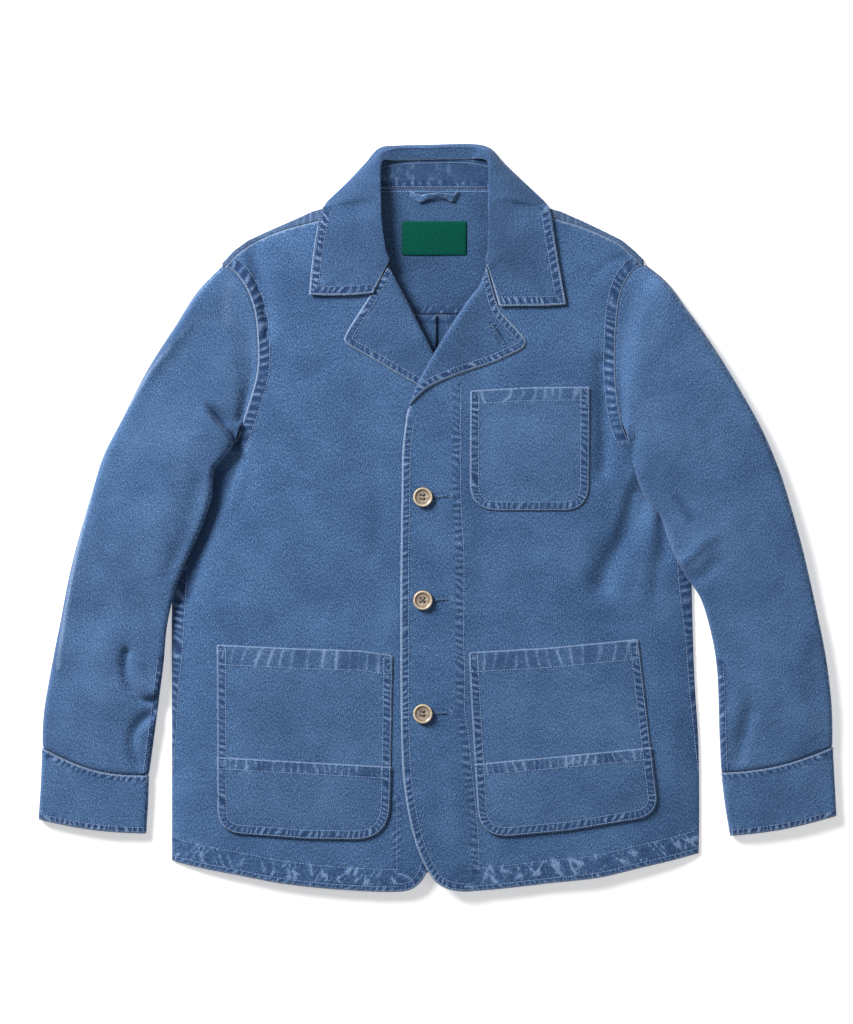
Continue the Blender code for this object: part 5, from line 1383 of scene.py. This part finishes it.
neckLabel = layCloth("neckLabel", rounded(label["corners"], 1.5), labelUnder, bands=labelEnds,
                     seed=5, thick=label["thick"])

# the hanger loop: a strip turned over on itself, lying twisted below the stand's seam
loop = {"path": [(-29, 345, 4.0, 2.3, 10), (-19, 339, 5.4, 3.8, 12), (-9.5, 341, 6.6, 3.4, 34),
                 (-0.5, 342.6, 7.2, 2.8, 44), (8.5, 341.8, 6.6, 3.0, 34), (16, 339.6, 5.6, 3.8, 14),
                 (21.5, 345, 4.1, 2.5, 20)], "thick": 1.0}


def loopRow(k, x, y, z, half, tilt):
    tilt = math.radians(tilt)
    over = np.array((0.12, math.cos(tilt), math.sin(tilt) / 2)) * half
    across = np.linspace(-1, 1, 9)
    ridged = 0.5 * np.cos(k * 0.5 + across) * (np.abs(across) > 0.4)
    # the strip's pale worn sides, and a little shade painted all over it
    return (np.array((x, y, z)) - over * across[:, None]
            + np.outer(0.35 * np.cos(across * math.pi / 2), (0, 0, 1)),
            np.column_stack([ridged, (np.abs(across) > 0.9) * 0.9, -0.1 + 0 * across]),
            np.column_stack([across * half + 1100, np.full(9, k * 0.9)]))


loopLine = enumerate(through(loop["path"], np.linspace(0, 6, 60)))
hangerLoop = gridCloth("hangerLoop", *zip(*(loopRow(k, *row) for k, row in loopLine)),
                       thickness=loop["thick"])

# buttons: turned horn with a raised rim and four holes
button = {
    "rim": [(8.9, 0.0), (9.9, 0.35), (10.4, 1.1), (10.5, 2.0), (10.4, 2.9), (10.0, 3.7),
            (9.4, 4.15), (8.8, 4.15), (8.2, 3.8), (7.6, 3.2), (6.9, 2.8), (6.0, 2.62)],
    "steps": 72, "holeAt": 2.9, "holeRadius": 0.95, "bevel": 0.22, "clear": 0.5, "shank": 1.4,
    "thread": 0.55, "barHalf": 0.28, "barSink": 1.6, "barArch": 2.0,
}


def makeButton(name, x, y, bars):
    seat = one(lap(x, y)) + wall + button["clear"]
    foot = one(drape(x, y)) + wall + 0.3
    height = seat + button["rim"][-1][1]
    verts, faces = [], []

    def addRing(points, z):
        first = len(verts)
        verts.extend((px, py, z) for px, py in points)
        return list(range(first, first + len(points)))

    def bridge(one, two):
        for k in range(len(one)):
            n = (k + 1) % len(one)
            faces.append([one[k], one[n], two[n], two[k]])

    def fill(rings, z, down):
        # a flat face between a ring and the holes in it
        flat = np.concatenate(rings)
        spot, made = triangulate(flat, rings)
        base = addRing(flat, z)[0]
        for face in made:
            corners = [int(spot[k]) for k in face]
            at = flat[corners].mean(axis=0)[:, None]
            if within(rings[0], *at)[0] and not any(within(ring, *at)[0] for ring in rings[1:]):
                faces.append([base + k for k in (corners[::-1] if down else corners)])
        return [list(range(base + a, base + a + n)) for a, n in ringSpans(rings)]

    middles = [(x + button["holeAt"] * math.cos(math.radians(45 + 90 * k)),
                y + button["holeAt"] * math.sin(math.radians(45 + 90 * k))) for k in range(4)]
    holes = [circle(*at, button["holeRadius"], 20) for at in middles]
    wide = [circle(*at, button["holeRadius"] + button["bevel"], 20) for at in middles]
    shank = circle(x, y, button["shank"], 12)
    rims = [circle(x, y, radius, button["steps"]) for radius, _ in button["rim"]]
    low = fill([rims[0]] + holes + [shank], seat, True)
    top = fill([rims[-1]] + wide, height, False)
    turned = [low[0]] + [addRing(ring, seat + z) for ring, (_, z) in
                         zip(rims[1:-1], button["rim"][1:-1])] + [top[0]]
    for a, b in zip(turned, turned[1:]):
        bridge(a, b)
    for k in range(4):
        edge = addRing(holes[k], height - button["bevel"])
        bridge(edge[::-1], top[1 + k][::-1])
        bridge(low[1 + k][::-1], edge[::-1])
    sole = fill([shank], foot, True)
    bridge(sole[0], low[5])
    mesh = bpy.data.meshes.new(name)
    mesh.from_pydata((np.array(verts) * mm).tolist(), [], faces)
    mesh.shade_smooth()
    mesh.set_sharp_from_angle(angle=math.radians(50))
    # how far each point is from the middle, which the horn's colour follows
    reach = mesh.attributes.new("turned", "FLOAT", "POINT")
    reach.data.foreach_set("value", [math.hypot(px - x, py - y) / button["rim"][3][0]
                                     for px, py, _ in verts])
    # two bars of thread through the holes
    for a, b in bars:
        for off in (-button["barHalf"], button["barHalf"]):
            start, end = np.array(middles[a]), np.array(middles[b])
            t = np.linspace(0, 1, 13)[:, None]
            rise = height - button["barSink"] + button["barArch"] * np.sin(np.pi * t)**0.35
            buttonThread.append(np.hstack([start + (end - start) * t + (0, off), rise]))
    return place(name, mesh)


buttonThread = []
sewnThrough = (((0, 1), (3, 2)), ((1, 3), (0, 2)), ((0, 1), (3, 2)))
buttonPieces = [makeButton(f"button{n}", buttons["x"], y, bars)
                for n, (y, bars) in enumerate(zip(buttons["y"], sewnThrough), 1)]

# buttonholes: a thread wound closely round the cut, with a bar across its end
purl = {"reach": 1.5, "inner": -0.3, "pitch": 0.6, "thread": 0.6, "tops": 0.5, "feet": 0.36}


def purlLines(start, end, under):
    start, end = np.array(start, float), np.array(end, float)
    length = np.linalg.norm(end - start)
    along = (end - start) / length
    off = np.array((-along[1], along[0]))
    k = np.arange(2 * int(length / purl["pitch"]))
    lines = []
    for sign in (1, -1):
        far = np.where(k % 2 == 0, purl["inner"], purl["reach"] + 0.25 * softNoise(k * 0.7, 0, 4))
        flat = (start + np.outer((k + 0.5 * (sign > 0)) * purl["pitch"] / 2, along)
                + np.outer(far * sign, off))
        z = under(*flat.T) + wall + np.where(k % 2 == 0, purl["tops"], purl["feet"])
        lines.append(np.column_stack([flat, z]))
    k = np.arange(14)
    flat = (end + np.outer(0.5 + 1.4 * (k % 2), along)
            + np.outer(np.linspace(-1, 1, 14) * purl["reach"], off))
    lines.append(np.column_stack([flat, under(*flat.T) + wall + 0.4]))
    return lines


purlThreads = []
for y in buttons["y"]:
    purlThreads += purlLines((buttons["x"] + 2.6, y),
                             (buttons["x"] + buttons["slit"] + 0.4, y + buttons["slant"]), lap)
purlThreads += purlLines(*lapels["slit"], above(lap, layer + 0.25))

# bar tacks: a narrow stitched box at each end of a pocket's mouth
for (x, y), under in tacks:
    inward = 1 if x < (-140.0 if x < 0 else 100.0) else -1
    box = [(x + inward * across, y - down)
           for across, down in ((1.8, 2), (9.5, 2), (9.5, 19), (1.8, 19))]
    line = evenly(box + box[:1], 1.5)
    stitchLines.append(np.column_stack([line, under(*line.T) + layer + wall + 0.35]))

# stitches: short lengths of thread laid along every row, and the wound thread of the buttonholes
stitchSizes = {"Pitch": 3.1, "Length": 2.9, "Thickness": 0.8}


def startTree(name, sizes):
    made = bpy.data.node_groups.new(name, "GeometryNodeTree")
    for label, kind in (("Geometry", "Geometry"), *((size, "Float") for size in sizes),
                        ("Material", "Material")):
        made.interface.new_socket(label, in_out="INPUT", socket_type="NodeSocket" + kind)
    made.interface.new_socket("Geometry", in_out="OUTPUT", socket_type="NodeSocketGeometry")
    given = addNode(made, "NodeGroupInput").outputs
    return made, given, addNode(made, "MeshToCurve", {"Mesh": given["Geometry"]})


def endTree(made, given, geometry):
    real = addNode(made, "RealizeInstances", {"Geometry": geometry})
    coloured = addNode(made, "SetMaterial", {"Geometry": real, "Material": given["Material"]})
    addNode(made, "NodeGroupOutput", {"Geometry": coloured})
    return made


def stitchTree():
    made, given, curves = startTree("stitches", stitchSizes)
    even = addNode(made, "ResampleCurve", {"Curve": curves, "Length": given["Pitch"]},
                   mode="LENGTH")
    points = addNode(made, "CurveToPoints", {"Curve": even}, mode="EVALUATED")
    shape = addNode(made, "MeshUVSphere", {"Segments": 6, "Rings": 3, "Radius": 0.5})
    wobble = addNode(made, "FunctionNodeRandomValue", {"Min": 0.8, "Max": 1.1, "Seed": 7},
                     data_type="FLOAT")
    longer = addNode(made, "ShaderNodeMath", (given["Length"], wobble), operation="MULTIPLY")
    size = addNode(made, "ShaderNodeCombineXYZ", (given["Thickness"], given["Thickness"], longer))
    return endTree(made, given, addNode(made, "InstanceOnPoints", {
        "Points": points, "Instance": shape, "Scale": size,
        "Rotation": points.outputs["Rotation"]}))


def threadTree():
    made, given, curves = startTree("threads", ["Thickness"])
    half = addNode(made, "ShaderNodeMath", (given["Thickness"], 0.5), operation="MULTIPLY")
    profile = addNode(made, "CurvePrimitiveCircle", {"Resolution": 5, "Radius": half})
    return endTree(made, given, addNode(made, "CurveToMesh", {
        "Curve": curves, "Profile Curve": profile, "Fill Caps": True}))


def runTree(name, tree, lines, material, sizes):
    # lines of points through a node tree, made a plain mesh
    mesh = bpy.data.meshes.new(name + "Rows")
    mesh.from_pydata((np.concatenate(lines) * mm).tolist(),
                     [(first + k, first + k + 1) for first, count in ringSpans(lines)
                      for k in range(count - 1)], [])
    source = place(name + "Rows", mesh)
    grown = source.modifiers.new("rows", "NODES")
    grown.node_group = tree
    values = {"Material": material, **{label: size * mm for label, size in sizes.items()}}
    for item in tree.interface.items_tree:
        if item.in_out == "INPUT" and item.name in values:
            grown[item.identifier] = values[item.name]
    result = bpy.data.meshes.new_from_object(
        source.evaluated_get(bpy.context.evaluated_depsgraph_get()))
    bpy.data.objects.remove(source)
    result.name = name
    result.shade_smooth()
    return place(name, result)


# spun cotton sewing thread, a shade lighter than the cloth because it took less dye
cottonThread = spunThread("cottonThread", 900.0, "#6f93c4", "#a4bfe0", 0.8)
stitches = runTree("seamStitches", stitchTree(), stitchLines, cottonThread, stitchSizes)
print(f"stitches: {len(stitches.data.polygons)} faces")
# buttonhole silk: brighter than the cloth, which has faded round it
silk = spunThread("buttonholeTwist", 700.0, "#5c90d0", "#a2c6f0", 0.55)
# waxed thread that holds the buttons
waxed = spunThread("waxedButtonThread", 900.0, "#1d2636", "#46536b", 0.6)
threadNodes = threadTree()
purlStitches = runTree("buttonholeStitches", threadNodes, purlThreads, silk,
                       {"Thickness": purl["thread"]})
buttonStitches = runTree("buttonThread", threadNodes, buttonThread, waxed,
                         {"Thickness": button["thread"]})

# Horn, turned and polished: a cream rim round a browner dish, with brown streaks and a soft gloss;
# shade is painted as a dark ring at the rim's inner foot and a dark outer edge
hornRingsAndShade = [(0.0, "#a3917f"), (0.5, "#b4a493"), (0.62, "#a69585"), (0.7, "#7c6a5b"),
             (0.77, "#c5b5a1"), (0.84, "#e6d8bf"), (0.94, "#dccaae"), (0.985, "#9a8163"),
             (1.0, "#54422f")]
horn, tree, shader = newMaterial("turnedHorn")
grow = addNode(tree, "Mapping", {"Vector": addNode(tree, "TexCoord").outputs["Object"],
                                 "Rotation": (0, 0, 0.6), "Scale": (1.0, 3.2, 1.0)})
clouds = addNode(tree, "TexNoise", {"Vector": grow, "Scale": 130.0, "Detail": 4.0,
                                    "Distortion": 0.6})
turnedAt = addNode(tree, "Attribute", attribute_name="turned")
rings = addNode(tree, "ValToRGB", {"Fac": turnedAt.outputs["Fac"]}, stops=hornRingsAndShade)
streak = addNode(tree, "MapRange", {"Value": clouds, "From Min": 0.35, "From Max": 0.65,
                                    "To Min": 0.4, "To Max": 0.0})
mottled = addNode(tree, "Mix", {"Factor": streak, "A": rings, "B": hexColour("#5f4630")},
                  data_type="RGBA")
lines = addNode(tree, "TexNoise", {"Vector": grow, "Scale": 900.0})
fine = addNode(tree, "Bump", {"Height": lines, "Strength": 0.15, "Distance": 0.0002})
feed(shader, {"Base Color": mottled, "Normal": fine, "Roughness": 0.34, "IOR": 1.54,
              "Subsurface Weight": 0.08, "Subsurface Radius": (0.003, 0.0018, 0.001)})

# Woven satin for the label: fine ribs along its length, with a gentle sheen
satin, tree, shader = newMaterial("wovenSatinLabel")
flat = addNode(tree, "UVMap", uv_map="cloth")
ribs = addNode(tree, "Mapping", {"Vector": flat, "Scale": (260, 1700, 1)})
yarn = addNode(tree, "TexNoise", {"Vector": ribs, "Scale": 1.0, "Detail": 2.0})
dyed = addNode(tree, "ValToRGB", {"Fac": yarn}, stops=((0.3, "#003f31"), (0.7, "#01594b")))
raised = addNode(tree, "Bump", {"Height": yarn, "Strength": 0.4, "Distance": 0.0003})
feed(shader, {"Base Color": dyed, "Normal": raised, "Roughness": 0.7, "Specular IOR Level": 0.08})

# finishes, what each piece stands for, and its cut: width and length in metres, area in square
# metres (all round on a tube), how it lies, and what it lies on
panels = [
    (frontRight, canvasFront, "front_right", "washed_cotton_front",
     ((0.292, 0.718), 0.177, "laid", ["backPanel"])),
    (frontLeft, canvasFront, "front_left", "washed_cotton_front",
     ((0.318, 0.719), 0.186, "laid", ["backPanel", "frontRight"])),
    (lapelRight, canvasCollar, "lapel_right", "washed_cotton_lapel",
     ((0.103, 0.138), 0.0071, "folded", ["frontRight"])),
    (lapelLeft, canvasCollar, "lapel_left", "washed_cotton_lapel",
     ((0.125, 0.154), 0.0066, "folded", ["frontLeft"])),
    (pocketChest, canvasTrim, "pocket_chest", "washed_cotton_pocket",
     ((0.127, 0.132), 0.0164, "laid", ["frontLeft"])),
    (pocketRight, canvasTrim, "pocket_right", "washed_cotton_pocket",
     ((0.187, 0.207), 0.0368, "laid", ["frontRight"])),
    (pocketLeft, canvasTrim, "pocket_left", "washed_cotton_pocket",
     ((0.199, 0.210), 0.0361, "laid", ["frontLeft"])),
    (patchRight, canvasTrim, "pocket_right_overlay", "washed_cotton_overlay",
     ((0.184, 0.089), 0.0146, "laid", ["pocketRight"])),
    (patchLeft, canvasTrim, "pocket_left_overlay", "washed_cotton_overlay",
     ((0.193, 0.095), 0.0148, "laid", ["pocketLeft"])),
    (sleeveRight, canvasSleeve, "sleeve_right", "washed_cotton_sleeve",
     ((0.400, 0.565), 0.123, "laid", ["backPanel", "frontRight"])),
    (sleeveLeft, canvasSleeve, "sleeve_left", "washed_cotton_sleeve",
     ((0.400, 0.565), 0.130, "laid", ["backPanel", "frontLeft"])),
    (cuffRight, canvasSleeve, "cuff_right", "washed_cotton_collar",
     ((0.236, 0.076), 0.0158, "laid", [])),
    (cuffLeft, canvasSleeve, "cuff_left", "washed_cotton_collar",
     ((0.240, 0.076), 0.0168, "laid", [])),
    (backPanel, canvasBackShaded, "back_panel", "washed_cotton_back",
     ((0.620, 0.606), 0.364, "laid", [])),
    (backYoke, canvasBackShaded, "back_yoke", "washed_cotton_back",
     ((0.450, 0.150), 0.051, "folded", [])),
    (collarFall, canvasCollar, "collar_fall", "washed_cotton_collar",
     ((0.480, 0.095), 0.038, "folded", ["frontRight", "frontLeft"])),
    (collarStand, canvasBackShaded, "collar_stand", "washed_cotton_collar",
     ((0.370, 0.042), 0.0106, "folded", ["backYoke"])),
    (neckLabel, satin, "neck_label", "label_satin",
     ((0.069, 0.036), 0.00248, "laid", ["backYoke"])),
    (hangerLoop, canvasTrim, "hanger_loop", "washed_cotton_collar",
     ((0.010, 0.052), 0.0004, "folded", ["backYoke"])),
    *((made, horn, f"button_{n}", "horn", None) for n, made in enumerate(buttonPieces, 1)),
]
for piece, finish, node, slot, cut in panels:
    piece.data.materials.append(finish)
    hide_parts(node)
    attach(piece, "root")
    if cut:
        flat, area, held, on = cut
for piece in (stitches, purlStitches, buttonStitches):
    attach(piece, "root")

# floor, lights and camera
floorMesh = bpy.data.meshes.new("floor")
floorMesh.from_pydata([(-6, -6, -0.0003), (6, -6, -0.0003), (6, 6, -0.0003), (-6, 6, -0.0003)], [],
                      [(0, 1, 2, 3)])
paper, _, shader = newMaterial("whiteBackdrop")
# the backdrop is lit from behind, so it stays white in the jacket's shadow
feed(shader, {"Base Color": hexColour("#fbfbfb"), "Roughness": 0.9,
              "Emission Color": hexColour("#ffffff"), "Emission Strength": 0.4})
floorMesh.materials.append(paper)
floor = place("floor", floorMesh)
floor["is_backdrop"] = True

lights = {
    "key": {"at": (-2.4, 2.15, 1.85), "size": 1.35, "power": 238},
    "fill": {"at": (1.9, -0.6, 2.2), "size": 2.4, "power": 13},
}
for label, sizes in lights.items():
    lamp = bpy.data.lights.new(label, "AREA")
    lamp.shape, lamp.size, lamp.energy = "SQUARE", sizes["size"], sizes["power"]
    holder = place(label, lamp)
    holder.location = sizes["at"]
    holder.rotation_euler = (-Vector(sizes["at"])).to_track_quat("-Z", "Y").to_euler()
world = bpy.data.worlds.new("studio")
bpy.context.scene.world = world
world.use_nodes = True
feed(world.node_tree.nodes["Background"], {"Color": (1, 1, 1, 1), "Strength": 0.16})
bpy.context.scene.view_settings.view_transform = "Standard"

camera = bpy.data.cameras.new("overhead")
view = place("overhead", camera)
middle = (photo["width"] / 2 - photo["originX"], photo["originY"] - photo["height"] / 2)
acrossX, acrossY, tall = (pixels * photo["mmPerPixel"] * mm
                          for pixels in (*middle, photo["height"]))
view.location = (acrossX, acrossY, photo["distance"])
camera.sensor_width = photo["sensor"]
camera.lens = photo["sensor"] * (photo["distance"] - photo["clothHeight"]) / tall
bpy.context.scene.camera = view

sizes = {"cad": cadBox, "visual": [[float(v) for v in corner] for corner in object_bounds()]}
